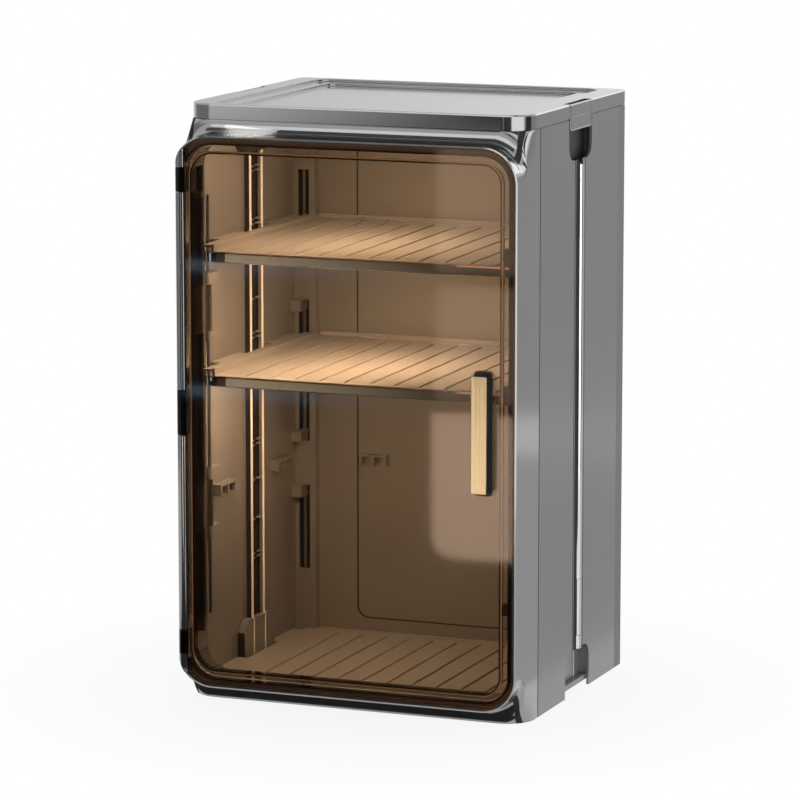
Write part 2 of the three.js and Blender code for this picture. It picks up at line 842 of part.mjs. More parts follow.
// Back panel: two corner posts and a plate between them, stiffened by ribs on its outside.
const backPanel = () => {
  const shell = raised(
    roundedRectangle(-halfWidth, halfWidth, rearSeamY, bodyDepth, [
      0,
      0,
      rearCornerRadius,
      rearCornerRadius,
    ]),
    0,
    wallTop,
  );
  const postX = halfWidth - postWidth;
  const room = box(-postX, postX, rearSeamY - over, backPlateY, footLedge, bodyHeight);
  const ledgeRoom = box(-postX, postX, rearSeamY - over, backPlateY - ledgeReach, -over, bodyHeight);
  const inset = runBack(
    roundedRectangle(
      -halfWidth + backInsetSide,
      halfWidth - backInsetSide,
      backInsetFoot,
      seamZ - backInsetTopDrop,
      evenly(backInsetRadius),
    ),
    backPlateY - over,
    backPlateY + backInsetDepth,
    5,
  );
  const outerRoom = box(
    -halfWidth + backRim,
    halfWidth - backRim,
    backPlateY + backPlate,
    bodyDepth + over,
    backRim,
    wallTop - backRim,
  );
  const ribZ = [1, 2].map((i) => (i * wallTop) / 3);
  const ribFrontY = backPlateY + backPlate - over / 2;
  const ribBackY = backPlateY + backPlate + backRibReach;
  const ribs = [
    ...ribZ.map((z) =>
      box(
        -halfWidth + backRim - over,
        halfWidth - backRim + over,
        ribFrontY,
        ribBackY,
        z - backRibWidth / 2,
        z + backRibWidth / 2,
      ),
    ),
    box(-backRibWidth / 2, backRibWidth / 2, ribFrontY, ribBackY, backRim - over, wallTop - backRim + over),
  ];
  const pockets = sides.flatMap(({ sign }) =>
    pocketBands.slice(0, 3).map(([z0, z1]) => {
      const outer = sign * (halfWidth - backPocketInset);
      const inner = sign * (halfWidth - backPocketInset - backPocketWidth);
      return box(
        Math.min(inner, outer),
        Math.max(inner, outer),
        rearSeamY - over,
        rearRodY + cornerBossRadius + seatGap,
        z0,
        z1,
      );
    }),
  );
  const pegs = [];
  for (let level = 0; level < supportCount; level += 1) {
    const top = supportFirstTop + level * supportPitch;
    for (const { sign } of sides) {
      const x0 = sign * backPegShare * halfWidth - backPegWidth / 2;
      const bay = (backPegWidth - 3 * pegRib) / 2;
      const ledge = box(
        x0,
        x0 + backPegWidth,
        backPlateY - pegReach,
        backPlateY + backPlate / 2,
        top - pegHeight,
        top,
      );
      const bays = [0, 1].map((i) => {
        const x = x0 + pegRib + i * (bay + pegRib);
        return box(
          x,
          x + bay,
          backPlateY - pegReach - over,
          backPlateY + backInsetDepth,
          top - pegHeight - over,
          top - pegTopPlate,
        );
      });
      pegs.push(without(ledge, ...bays));
    }
  }
  return without(
    joined(without(shell, room, ledgeRoom, inset, outerRoom, ...pockets), ...ribs, ...pegs),
    cornerBore(-1, rearRodY),
    cornerBore(1, rearRodY),
  );
};
place("back_panel", geometryOf(backPanel()), greyPanel);

// Outline shared by what lies between the walls: narrow in the front frame, at the middle rails and
// between the rear posts, wide elsewhere.
const bayOutline = (front, wingX, innerHalf, rear) => {
  const wingFront = frontSeam + panelLugLength + innerGap;
  const notchFront = middleY - cupHalf - innerGap;
  const notchRear = middleY + cupHalf + innerGap;
  const wingRear = rearSeamY - panelLugLength - innerGap;
  const rearX = halfWidth - postWidth - innerGap;
  const half = [
    [innerHalf, front],
    [innerHalf, wingFront],
    [wingX, wingFront],
    [wingX, notchFront],
    [innerHalf, notchFront],
    [innerHalf, notchRear],
    [wingX, notchRear],
    [wingX, wingRear],
    [innerHalf, wingRear],
    [innerHalf, rearSeamY - innerGap],
    [rearX, rearSeamY - innerGap],
    [rearX, rear],
  ];
  return polygon([...half, ...half.toReversed().map(([x, y]) => [-x, y])]);
};

const innerHalfWidth = cornerRodX - cornerBossRadius - innerGap;
const rearEdge = backPlateY - innerGap;

// Base board, held in by ledges of the front frame and the back panel.
const baseFoot = footLedge + seatGap;
place(
  "base_board",
  geometryOf(
    joined(
      box(-innerX + seatGap, innerX - seatGap, postReach + seatGap, rearSeamY - seamGap, baseFoot, baseTop),
      box(
        postWidth + seamGap - halfWidth,
        halfWidth - postWidth - seamGap,
        rearSeamY - over,
        backPlateY - seatGap,
        baseFoot,
        baseTop,
      ),
    ),
  ),
  greyPanel,
);

// Ribs that run from front to back over a plate, evenly spread between its side margins.
const ribRow = (front, rear, z0, z1) => {
  const firstX = ribSideMargin - innerHalfWidth;
  const pitch = (-2 * firstX) / (ribCount - 1);
  const ribWidth = pitch - ribGroove;
  return Array.from({ length: ribCount }, (_, i) => {
    const x = firstX + i * pitch;
    return box(x - ribWidth / 2, x + ribWidth / 2, front, rear, z0, z1);
  });
};

// A dip for the fingers near the rear edge of a plate.
const fingerDip = (top) =>
  raised(
    roundedRectangle(
      -fingerDipWidth / 2,
      fingerDipWidth / 2,
      rearEdge - fingerDipRear - fingerDipSpan,
      rearEdge - fingerDipRear,
      evenly(fingerDipSpan / 2),
    ),
    top - fingerDipDrop,
    top + over,
    4,
  );
const ribRear = rearEdge - fingerDipRear - fingerDipSpan - ribEndMargin / 2;

// Floor plate, lying on the base board.
const floorFoot = baseTop + seatGap;
const floorTop = floorFoot + floorPlate;
place(
  "floor_plate",
  geometryOf(
    without(
      joined(
        raised(
          bayOutline(postReach + innerGap, innerX - wingGap, innerHalfWidth, rearEdge),
          floorFoot,
          floorTop,
        ),
        ...ribRow(postReach + ribEndMargin, ribRear, floorFoot + floorPlate / 2, floorTop + floorRibHeight),
      ),
      fingerDip(floorTop),
    ),
  ),
  shelfPlastic,
);

// Shelf: plate with wings over the side supports, ribs, a raised rim and a skirt along its front, which
// carries a bar.
const shelfSolid = () => {
  const plate = raised(
    bayOutline(shelfFront, innerX - wingGap, innerHalfWidth, rearEdge),
    0,
    shelfPlate,
  );
  const skirt = box(
    -innerHalfWidth,
    innerHalfWidth,
    shelfFront,
    shelfFront + shelfSkirtWall,
    shelfPlate - shelfSkirt,
    shelfPlate / 2,
  );
  const rimInner = innerHalfWidth - shelfRimWidth;
  const rimTop = shelfPlate + shelfRimHeight;
  const rims = [
    box(-innerHalfWidth, -rimInner, shelfFront, rearEdge, shelfPlate / 2, rimTop),
    box(rimInner, innerHalfWidth, shelfFront, rearEdge, shelfPlate / 2, rimTop),
    box(-innerHalfWidth, innerHalfWidth, rearEdge - shelfRimWidth, rearEdge, shelfPlate / 2, rimTop),
  ];
  const rearRoom = sides.map(({ sign }) => {
    const x0 = sign * (halfWidth - postWidth - innerGap);
    const x1 = sign * (halfWidth + over);
    return box(
      Math.min(x0, x1),
      Math.max(x0, x1),
      rearSeamY - innerGap,
      bodyDepth,
      -over,
      rimTop + over,
    );
  });
  const ribs = ribRow(
    shelfFront + shelfSkirtWall,
    ribRear,
    shelfPlate / 2,
    shelfPlate + shelfRibHeight,
  );
  return without(joined(plate, skirt, ...rims, ...ribs), ...rearRoom, fingerDip(shelfPlate));
};
const shelfGeometry = geometryOf(shelfSolid());
const barFoot = shelfPlate - shelfSkirt;
const barGeometry = geometryOf(
  box(
    -innerHalfWidth,
    innerHalfWidth,
    shelfFront - seatGap - barThickness,
    shelfFront - seatGap,
    barFoot,
    barFoot + barHeight,
  ),
);
["lower", "upper"].forEach((name, i) => {
  const z = supportFirstTop + (i + 1) * supportPitch + seatGap;
  place(`${name}_shelf`, shelfGeometry, shelfPlastic).position.z = z;
  place(`${name}_shelf_bar`, barGeometry, steel).position.z = z;
});

// Lid
const lidFoot = seamZ;
const lidOutline = (inset) =>
  roundedRectangle(-halfWidth + inset, halfWidth - inset, inset, bodyDepth - inset, [
    frontCornerRadius - inset,
    frontCornerRadius - inset,
    rearCornerRadius - inset,
    rearCornerRadius - inset,
  ]);
const latchAxisX = halfWidth + latchProud - latchBarrelRadius;
const latchAxisZ = bodyHeight - latchAxisDrop;
const slotHalf = latchWidth / 2 + latchSlotGap;

const lidSolid = () => {
  const plateTop = bodyHeight - lidStepDrop - lidPanelDrop;
  const recess = (side, end, depth, radius) =>
    raised(
      roundedRectangle(-halfWidth + side, halfWidth - side, end, bodyDepth - end, evenly(radius)),
      bodyHeight - depth,
      bodyHeight + over,
      5,
    );
  const hollow = raised(lidOutline(lidWall), lidFoot - over, plateTop - lidPlate);
  const slots = sides.map(({ sign }) => {
    const x0 = sign * (latchAxisX - latchBarrelRadius - latchSlotGap);
    const x1 = sign * (halfWidth + over);
    return box(
      Math.min(x0, x1),
      Math.max(x0, x1),
      middleY - slotHalf,
      middleY + slotHalf,
      lidFoot - over,
      bodyHeight + over,
    );
  });
  const pinBores = sides.map(({ sign }) =>
    crossRod(
      sign * latchAxisX,
      latchAxisZ,
      middleY - slotHalf - lidWall - seatGap,
      middleY + slotHalf + lidWall + seatGap,
      latchPinRadius + hingeHoleGap,
      10,
    ),
  );
  // Blocks that close the slots towards the hollow and hold the latch pins.
  const slotBlocks = sides.map(({ sign }) => {
    const x0 = sign * (latchAxisX - latchBarrelRadius - latchSlotGap - lidWall);
    const x1 = sign * (halfWidth - lidWall / 2);
    return box(
      Math.min(x0, x1),
      Math.max(x0, x1),
      middleY - slotHalf - 2 * lidWall,
      middleY + slotHalf + 2 * lidWall,
      lidFoot,
      plateTop - lidPlate + over / 2,
    );
  });
  const lipX = innerX - lidLipInset;
  const lipSpans = [
    [frontSeam + lidWall, middleY - cupHalf - lidWall],
    [middleY + cupHalf + lidWall, rearSeamY - lidWall],
  ];
  const lips = sides.flatMap(({ sign }) =>
    lipSpans.map(([y0, y1]) => {
      const x0 = sign * (lipX - lidLipWall);
      const x1 = sign * lipX;
      return box(Math.min(x0, x1), Math.max(x0, x1), y0, y1, lidFoot - lidLipDepth, plateTop - lidPlate / 2);
    }),
  );
  const lipEnds = [
    [postReach + lidLipInset, postReach + lidLipInset + lidLipWall],
    [backPlateY - lidLipInset - lidLipWall, backPlateY - lidLipInset],
  ].map(([y0, y1]) =>
    box(
      postWidth + lidWall - halfWidth,
      halfWidth - postWidth - lidWall,
      y0,
      y1,
      lidFoot - lidLipDepth,
      plateTop - lidPlate / 2,
    ),
  );
  return without(
    joined(
      without(
        raised(lidOutline(0), lidFoot, bodyHeight),
        recess(lidSideRim, lidEndRim, lidStepDrop, lidRecessRadius),
        recess(
          lidSideRim + lidStepWidth,
          lidEndRim + lidStepWidth,
          lidStepDrop + lidPanelDrop,
          lidRecessRadius - lidRecessRadius / 4,
        ),
        hollow,
      ),
      ...slotBlocks,
      ...lips,
      ...lipEnds,
    ),
    ...slots,
    ...pinBores,
  );
};
place("top_lid", geometryOf(lidSolid()), greyPlastic);

// Latch for the right-hand side, drawn from its own axis: a barrel on the lid's edge, a plate over the
// finger recess and a nose behind its lower edge.
const latchSolid = () => {
  const outer = latchBarrelRadius;
  const inner = outer - latchPlate;
  const top = latchAxisDrop - latchProud;
  const foot = latchAxisDrop - latchHeight;
  const half = latchWidth / 2;
  const plate = box(inner, outer, -half, half, foot, 0);
  const barrel = crossRod(0, 0, -half, half, latchBarrelRadius, 14);
  const cap = box(0, outer, -half, half, 0, top);
  const nose = box(
    inner - latchNoseReach,
    inner + latchPlate / 2,
    -half + recessRadius / 2,
    half - recessRadius / 2,
    foot + latchNoseRise,
    foot + latchNoseRise + latchNoseHeight,
  );
  const pullLip = box(inner, outer + latchLipHeight / 2, -half, half, foot, foot + latchLipHeight);
  const groove = box(
    outer - latchGrooveDepth,
    outer + over,
    -half + recessRadius / 4,
    half - recessRadius / 4,
    foot + latchHeight / 2,
    foot + latchHeight / 2 + latchGrooveDepth,
  );
  const bore = crossRod(0, 0, -half - over, half + over, latchPinRadius + hingeHoleGap, 10);
  return without(joined(plate, barrel, cap, nose, pullLip), groove, bore);
};
const latchGeometry = geometryOf(latchSolid());
const latchPinGeometry = geometryOf(
  crossRod(0, 0, -slotHalf - lidWall, slotHalf + lidWall, latchPinRadius, 10),
);
sides.forEach(({ name, sign }) => {
  const latch = place(`${name}_latch`, mirrored(latchGeometry, sign, 1), greyPlastic);
  latch.position.set(sign * latchAxisX, middleY, latchAxisZ);
  const pin = place(`${name}_latch_pin`, latchPinGeometry, steel);
  pin.position.set(sign * latchAxisX, middleY, latchAxisZ);
});

// Door: a clear plate with a wall near its edge, a lip that enters the window, and three knuckles on
// the hinge rod.
const doorSolid = () => {
  const ring = (inset) =>
    roundedRectangle(-doorRight + inset, doorRight - inset, doorFoot + inset, doorTop - inset, [
      hingeSideRadius - inset,
      doorRadius - inset,
      doorRadius - inset,
      hingeSideRadius - inset,
    ]);
  const plate = runBack(ring(0), rimFrontY, rimFrontY + doorPlate);
  const edgeWall = without(
    runBack(ring(doorWallInset), rimFrontY, doorBackY),
    runBack(ring(doorWallInset + doorWall), rimFrontY - over, doorBackY + over),
  );
  const lip = without(
    runBack(ring(doorLipInset), rimFrontY, doorBackY),
    runBack(ring(doorLipInset + doorLipWall), rimFrontY - over, doorBackY + over),
  );
  const hingeRoom = box(
    -halfWidth - over,
    doorLeft,
    rimFrontY - over,
    flangeY + over,
    0,
    bodyHeight,
  );
  const knuckles = hingeKnuckles.map(([z0, z1]) =>
    joined(
      post(-hingeX, hingeY, z0, z1, hingeRadius, 20),
      box(-hingeX, doorLeft + over, rimFrontY, rimFrontY + doorPlate, z0, z1),
    ),
  );
  const bore = post(-hingeX, hingeY, 0, bodyHeight, hingeRodRadius + hingeHoleGap);
  return without(joined(without(joined(plate, edgeWall, lip), hingeRoom), ...knuckles), bore);
};
place("door_panel", geometryOf(doorSolid()), brownClear);
place(
  "door_hinge_rod",
  geometryOf(post(0, 0, hingeFoot + seatGap, hingeTop - seatGap, hingeRodRadius)),
  steel,
).position.set(-hingeX, hingeY, 0);

// Stiffener: a clear strip behind the door's hinge edge, with a raised edge and short ribs.
const leafSolid = () => {
  const x0 = doorLipInset + doorLipWall + seatGap - doorRight;
  const x1 = x0 + leafWidth;
  const y0 = rimFrontY + doorPlate + seatGap;
  const y1 = y0 + leafThickness;
  const z0 = hingeKnuckles[0][1];
  const z1 = hingeKnuckles[2][0];
  const strip = box(x0, x1, y0, y1, z0, z1);
  const edge = box(x1 - leafEdgeWidth, x1, y0, y1 + leafEdgeHeight, z0, z1);
  const pitch = (z1 - z0 - 2 * leafRibMargin) / (leafRibCount - 1);
  const ribs = Array.from({ length: leafRibCount }, (_, i) => {
    const z = z0 + leafRibMargin + i * pitch;
    return box(x0, x1, y0, y1 + leafEdgeHeight, z - leafRibThickness / 2, z + leafRibThickness / 2);
  });
  return joined(strip, edge, ...ribs);
};
place("door_stiffener", geometryOf(leafSolid()), brownClear);

catchHeights.forEach((z, i) => {
  const name = ["lower", "upper"][i];
  const magnet = box(
    catchX - catchSize / 2,
    catchX + catchSize / 2,
    rimFrontY + doorPlate + seatGap,
    rimFrontY + doorPlate + seatGap + catchThickness,
    z - catchHeight / 2,
    z + catchHeight / 2,
  );
  const strike = box(
    catchX - catchSize / 2,
    catchX + catchSize / 2,
    flangeY,
    flangeY + strikeThickness,
    z - catchHeight / 2,
    z + catchHeight / 2,
  );
  place(`${name}_door_magnet`, geometryOf(magnet), darkPlastic);
  place(`${name}_strike_plate`, geometryOf(strike), steel);
});

// Handle: clear base plate, dark body and a gold strip with three grooves down its face.
const handlePlate = (width, length, radius, frontY, depth) =>
  runBack(
    roundedRectangle(
      handleCentreX - width / 2,
      handleCentreX + width / 2,
      handleCentreZ - length / 2,
      handleCentreZ + length / 2,
      evenly(radius),
    ),
    frontY,
    frontY + depth,
    6,
  );
const handleBaseY = rimFrontY - seatGap - handleBaseThickness;
const handleBodyY = handleBaseY - seatGap - handleBodyDepth;
const handleStripY = handleBodyY - seatGap - handleStripDepth;
place(
  "handle_base",
  geometryOf(
    handlePlate(
      handleWidth + 2 * handleBaseSideMargin,
      handleLength + 2 * handleBaseEndMargin,
      handleBaseRadius,
      handleBaseY,
      handleBaseThickness,
    ),
  ),
  brownClear,
);
place(
  "handle_body",
  geometryOf(handlePlate(handleWidth, handleLength, handleFrame / 2, handleBodyY, handleBodyDepth)),
  darkPlastic,
);
const handleStrip = () => {
  const panelWidth = handleWidth - 2 * handleFrame;
  const panel = handlePlate(
    panelWidth,
    handleLength - 2 * handleFrame,
    handleFrame / 4,
    handleStripY - over,
    over + handlePanelDrop,
  );
  const pitch = panelWidth / handleGrooveCount;
  const grooves = Array.from({ length: handleGrooveCount }, (_, i) => {
    const x = handleCentreX + (i - (handleGrooveCount - 1) / 2) * pitch;
    return box(
      x - handleGrooveWidth / 2,
      x + handleGrooveWidth / 2,
      handleStripY - over,
      handleStripY + handlePanelDrop + handleGrooveDepth,
      handleCentreZ - handleLength / 2 + handleGrooveEndMargin,
      handleCentreZ + handleLength / 2 - handleGrooveEndMargin,
    );
  });
  return without(
    handlePlate(handleWidth, handleLength, handleFrame / 2, handleStripY, handleStripDepth),
    panel,
    ...grooves,
  );
};
place("handle_strip", geometryOf(handleStrip()), gold);

export default cabinet;
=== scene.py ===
"""Looks of a folding storage cabinet for cups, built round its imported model.

The model's frame is in metres, +Z up, with the door towards -Y and the origin in the middle of the
footprint. Sizes here are written in millimetres and turned into metres by MM. Each sub-assembly is a
class that holds its sizes and builds or dresses its pieces; main() makes them in order.
"""

from __future__ import annotations

import logging
import math
from dataclasses import dataclass
from enum import Enum
from typing import Sequence

import bmesh
import bpy
from mathutils import Matrix, Vector

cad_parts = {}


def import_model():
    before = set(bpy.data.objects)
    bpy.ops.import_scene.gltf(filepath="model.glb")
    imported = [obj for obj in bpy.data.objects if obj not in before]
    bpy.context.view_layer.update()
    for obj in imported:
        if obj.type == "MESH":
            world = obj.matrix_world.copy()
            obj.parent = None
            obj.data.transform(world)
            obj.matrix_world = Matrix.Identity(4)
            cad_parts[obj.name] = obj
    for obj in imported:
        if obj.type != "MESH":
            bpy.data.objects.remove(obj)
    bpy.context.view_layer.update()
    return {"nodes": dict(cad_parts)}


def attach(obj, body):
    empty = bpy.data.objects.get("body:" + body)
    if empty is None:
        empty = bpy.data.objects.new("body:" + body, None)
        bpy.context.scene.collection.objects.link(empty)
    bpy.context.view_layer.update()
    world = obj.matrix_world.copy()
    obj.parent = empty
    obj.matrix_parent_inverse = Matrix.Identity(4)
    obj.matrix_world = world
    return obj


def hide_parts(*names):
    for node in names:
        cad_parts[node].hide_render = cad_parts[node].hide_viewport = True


log = logging.getLogger("cabinet")

MM = 0.001  # one millimetre in metres
OVER = 2.0  # how far a cutter stands past what it cuts
LEAST = 0.02  # smallest step between two outlines
SETBACK = -134.65  # from y = 0 of the sizes here to y = 0 of the frame
SHARP_ANGLE = 35.0  # degrees, above which an edge stays sharp
SIDES = (-1, 1)  # signs of x on the left and the right
Point = tuple[float, float]
Span = tuple[float, float]
Place = tuple[float, float, float]
Colour = tuple[float, float, float]
Ring = list[Place]


# Shader graph


class Wire:
    """One socket of a shader graph, with arithmetic that adds Math nodes."""

    def __init__(self, graph: "Graph", socket: bpy.types.NodeSocket | None) -> None:
        """Keeps the graph and the output socket.

        Args:
            graph: the graph that new nodes are added to.
            socket: the output that this wire carries, or None after a node without outputs.
        """
        self.graph = graph
        self.socket = socket

    def _math(self, operation: str, first: "Wire | float", second: "Wire | float") -> "Wire":
        """Adds one Math node.

        Args:
            operation: the node's operation.
            first: its first value.
            second: its second value.

        Returns:
            The node's output.
        """
        return self.graph.add("ShaderNodeMath", {"operation": operation}, {0: first, 1: second})

    def __add__(self, other: "Wire | float") -> "Wire":
        """Sum."""
        return self._math("ADD", self, other)

    def __radd__(self, other: float) -> "Wire":
        """Sum, with the number first."""
        return self._math("ADD", other, self)

    def __sub__(self, other: "Wire | float") -> "Wire":
        """Difference."""
        return self._math("SUBTRACT", self, other)

    def __rsub__(self, other: float) -> "Wire":
        """Difference, with the number first."""
        return self._math("SUBTRACT", other, self)

    def __mul__(self, other: "Wire | float") -> "Wire":
        """Product."""
        return self._math("MULTIPLY", self, other)

    def __rmul__(self, other: float) -> "Wire":
        """Product, with the number first."""
        return self._math("MULTIPLY", other, self)

    def above(self, limit: float) -> "Wire":
        """1 where the wire is above a limit, otherwise 0."""
        return self._math("GREATER_THAN", self, limit)

    def between(self, span: Span) -> "Wire":
        """1 where the wire lies inside a span, otherwise 0."""
        return self.above(span[0]) - self.above(span[1])

    def at_most(self, limit: float) -> "Wire":
        """The wire, held down to a limit."""
        return self._math("MINIMUM", self, limit)

    def size(self) -> "Wire":
        """The wire without its sign."""
        return self._math("ABSOLUTE", self, 0.0)


class Graph:
    """The node tree of one material or world."""

    def __init__(self, tree: bpy.types.NodeTree) -> None:
        """Empties the tree.

        Args:
            tree: the node tree to fill.
        """
        self.tree = tree
        tree.nodes.clear()

    def add(
        self,
        kind: str,
        settings: dict[str, object] | None = None,
        values: dict[str | int, object] | None = None,
        output: str | int = 0,
    ) -> Wire:
        """Adds one node, its settings first and then the values or links of its sockets.

        Args:
            kind: the node's type.
            settings: properties of the node, such as its operation.
            values: a value or a Wire for each named input socket.
            output: the output that the result carries.

        Returns:
            The chosen output.
        """
        node = self.tree.nodes.new(kind)
        for key, value in (settings or {}).items():
            setattr(node, key, value)
        for key, value in (values or {}).items():
            if isinstance(value, Wire):
                self.tree.links.new(value.socket, node.inputs[key])
            else:
                node.inputs[key].default_value = value
        return Wire(self, node.outputs[output]) if len(node.outputs) else Wire(self, None)

    def noise(self, scale: float, detail: float = 3.0, vector: Wire | None = None) -> Wire:
        """Noise over the object's own space.

        Args:
            scale: blotches per metre.
            detail: octaves.
            vector: where to look it up, otherwise the object's coordinates.

        Returns:
            The noise factor, 0 to 1.
        """
        place = vector or self.add("ShaderNodeTexCoord", output="Object")
        return self.add("ShaderNodeTexNoise", None, {"Vector": place, "Scale": scale, "Detail": detail})

    def stretched(self, scale: tuple[float, float, float]) -> Wire:
        """The object's coordinates, scaled differently along each axis."""
        place = self.add("ShaderNodeTexCoord", output="Object")
        return self.add("ShaderNodeVectorMath", {"operation": "MULTIPLY"}, {0: place, 1: scale})

    def blend(self, share: Wire, low: Colour | Wire, high: Colour | Wire) -> Wire:
        """A colour between two.

        Args:
            share: 0 for the low colour, 1 for the high one.
            low: colour, linear.
            high: colour, linear.

        Returns:
            The mixed colour.
        """
        ends = [end if isinstance(end, Wire) else (*end, 1) for end in (low, high)]
        values = {"Factor": share, 6: ends[0], 7: ends[1]}
        return self.add("ShaderNodeMix", {"data_type": "RGBA"}, values, output=2)

    def within(self, zones: Sequence["Zone"]) -> Wire:
        """1 inside any of several zones of the cabinet, otherwise 0.

        Args:
            zones: the zones.

        Returns:
            The mask.
        """
        place = self.add("ShaderNodeTexCoord", output="Object")
        across = self.add("ShaderNodeSeparateXYZ", None, {0: place}, output=0).size()
        deep = self.add("ShaderNodeSeparateXYZ", None, {0: place}, output=1)
        up = self.add("ShaderNodeSeparateXYZ", None, {0: place}, output=2)
        total: Wire | None = None
        for zone in zones:
            mask = across.between((zone.x[0] * MM, zone.x[1] * MM))
            mask = mask * deep.between(((zone.y[0] + SETBACK) * MM, (zone.y[1] + SETBACK) * MM))
            if zone.z:
                mask = mask * up.between((zone.z[0] * MM, zone.z[1] * MM))
            total = mask if total is None else total + mask
        return total.at_most(1.0)


def linear(level: float) -> float:
    """The linear value of an sRGB level from 0 to 255."""
    share = level / 255
    return share / 12.92 if share <= 0.04045 else ((share + 0.055) / 1.055) ** 2.4


def srgb(red: float, green: float, blue: float) -> Colour:
    """A linear colour from sRGB levels from 0 to 255."""
    return linear(red), linear(green), linear(blue)


def new_material(name: str) -> tuple[bpy.types.Material, Graph]:
    """An empty node-based material and its graph.

    Args:
        name: the material's name.

    Returns:
        The material and its graph.
    """
    material = bpy.data.materials.new(name)
    material.use_nodes = True
    return material, Graph(material.node_tree)


# Finishes

CLOUD_SCALE = 7.0  # blotches per metre
CLOUD_SPREAD = 0.06  # of the roughness
GRAIN_SCALE = 2400.0
GRAIN_SPREAD = 0.03
RIPPLE_SCALE = 12.0
RIPPLE_SPREAD = 0.02
COAT_ROUGHNESS = 0.06
STREAK_SHADE = 0.93  # of the colour, at the darkest streaks of brushed metal


@dataclass(frozen=True)
class Zone:
    """Part of the cabinet on both sides: spans, in mm, of the distance from the middle, of y and of z."""

    x: Span
    y: Span
    z: Span | None = None


@dataclass(frozen=True)
class Moulded:
    """Moulded plastic: a fine grain, a faint mottle and a clear gloss.

    Fields: name, colour (linear), roughness, metallic flake share, coat weight, grain depth in mm and the
    mottle's strength. Then zones with painted shade, whose colour is darkened to a share of it, with that
    share and their roughness, zones that are polished like metal, and matt zones, rougher than the rest,
    with their own colour, which on the panel's rail edges is near white as a painted highlight.
    """

    name: str
    colour: Colour
    roughness: float = 0.3
    flake: float = 0.0
    coat: float = 0.2
    grain: float = 0.003
    mottle: float = 0.05
    # deep: zones with painted shade, whose colour is darkened to a small share
    deep: tuple[Zone, ...] = ()
    painted_shade_share: float = 0.06
    painted_shade_roughness: float = 0.9
    polished: tuple[Zone, ...] = ()
    polished_colour: Colour = (0.7, 0.7, 0.7)
    polished_roughness: float = 0.1
    # matt zones, with their own colour; a light colour here is a painted highlight
    matt_and_highlight: tuple[Zone, ...] = ()
    matt_and_highlight_colour: Colour = (0.3, 0.3, 0.3)
    matt_roughening: float = 0.3

    def make(self) -> bpy.types.Material:
        """Builds the material.

        Returns:
            The new material.
        """
        material, graph = new_material(self.name)
        cloud = graph.noise(CLOUD_SCALE)
        grain = graph.noise(GRAIN_SCALE, 2.0)
        roughness = self.roughness + CLOUD_SPREAD * (cloud - 0.5) + GRAIN_SPREAD * (grain - 0.5)
        low = tuple(channel * (1 - self.mottle) for channel in self.colour)
        high = tuple(channel * (1 + self.mottle) for channel in self.colour)
        bump = graph.add(
            "ShaderNodeBump", None, {"Strength": 0.5, "Distance": self.grain * MM, "Height": grain}
        )
        colour = graph.blend(cloud, low, high)
        metal: Wire | float = self.flake
        coat: Wire | float = self.coat
        # Matt zones lose the flake, roughen and take their own colour. Where that colour is light, as on the
        # panel's rail edges, it is a painted highlight.
        if self.matt_and_highlight:
            matt_and_highlight_mask = graph.within(self.matt_and_highlight)
            colour = graph.blend(matt_and_highlight_mask, colour, self.matt_and_highlight_colour)
            metal = metal * (1 - matt_and_highlight_mask)
            roughness = roughness + self.matt_roughening * matt_and_highlight_mask
        # Painted shade: the deep zones' colour is darkened to a small share of it, and they lose flake and
        # coat.
        if self.deep:
            dark = graph.within(self.deep)
            colour = graph.blend(dark, colour, tuple(self.painted_shade_share * channel for channel in self.colour))
            metal = metal * (1 - dark)
            coat = coat * (1 - dark)
            roughness = roughness + (self.painted_shade_roughness - self.roughness) * dark
        if self.polished:
            shine = graph.within(self.polished)
            colour = graph.blend(shine, colour, self.polished_colour)
            metal = metal + (1 - self.flake) * shine
            roughness = roughness - (self.roughness - self.polished_roughness) * shine
        shader = graph.add(
            "ShaderNodeBsdfPrincipled",
            None,
            {
                "Base Color": colour,
                "Metallic": metal,
                "Roughness": roughness,
                "Coat Weight": coat,
                "Coat Roughness": COAT_ROUGHNESS,
                "Normal": bump,
            },
        )
        graph.add("ShaderNodeOutputMaterial", None, {"Surface": shader})
        return material


@dataclass(frozen=True)
class Clear:
    """Transparent tinted plastic that lets light through.

    Fields: name, tint of what is seen through one surface, body colour of what doesn't pass, the share
    that doesn't pass when seen straight on, roughness, the index that sets that share's gloss and the
    index by which the share rises towards the edges.
    """

    name: str
    tint: Colour
    body: Colour
    least: float = 0.08
    roughness: float = 0.05
    gloss_ior: float = 3.6
    edge_ior: float = 1.45

    def make(self) -> bpy.types.Material:
        """Builds the material.

        Returns:
            The new material.
        """
        material, graph = new_material(self.name)
        rim = graph.add("ShaderNodeFresnel", None, {"IOR": self.edge_ior})
        ripple = graph.noise(RIPPLE_SCALE)
        through = graph.add("ShaderNodeBsdfTransparent", None, {"Color": (*self.tint, 1)})
        surface = graph.add(
            "ShaderNodeBsdfPrincipled",
            None,
            {
                "Base Color": (*self.body, 1),
                "Roughness": self.roughness + RIPPLE_SPREAD * ripple,
                "IOR": self.gloss_ior,
            },
        )
        share = self.least + (1 - self.least) * rim
        mixed = graph.add("ShaderNodeMixShader", None, {0: share, 1: through, 2: surface})
        graph.add("ShaderNodeOutputMaterial", None, {"Surface": mixed})
        return material


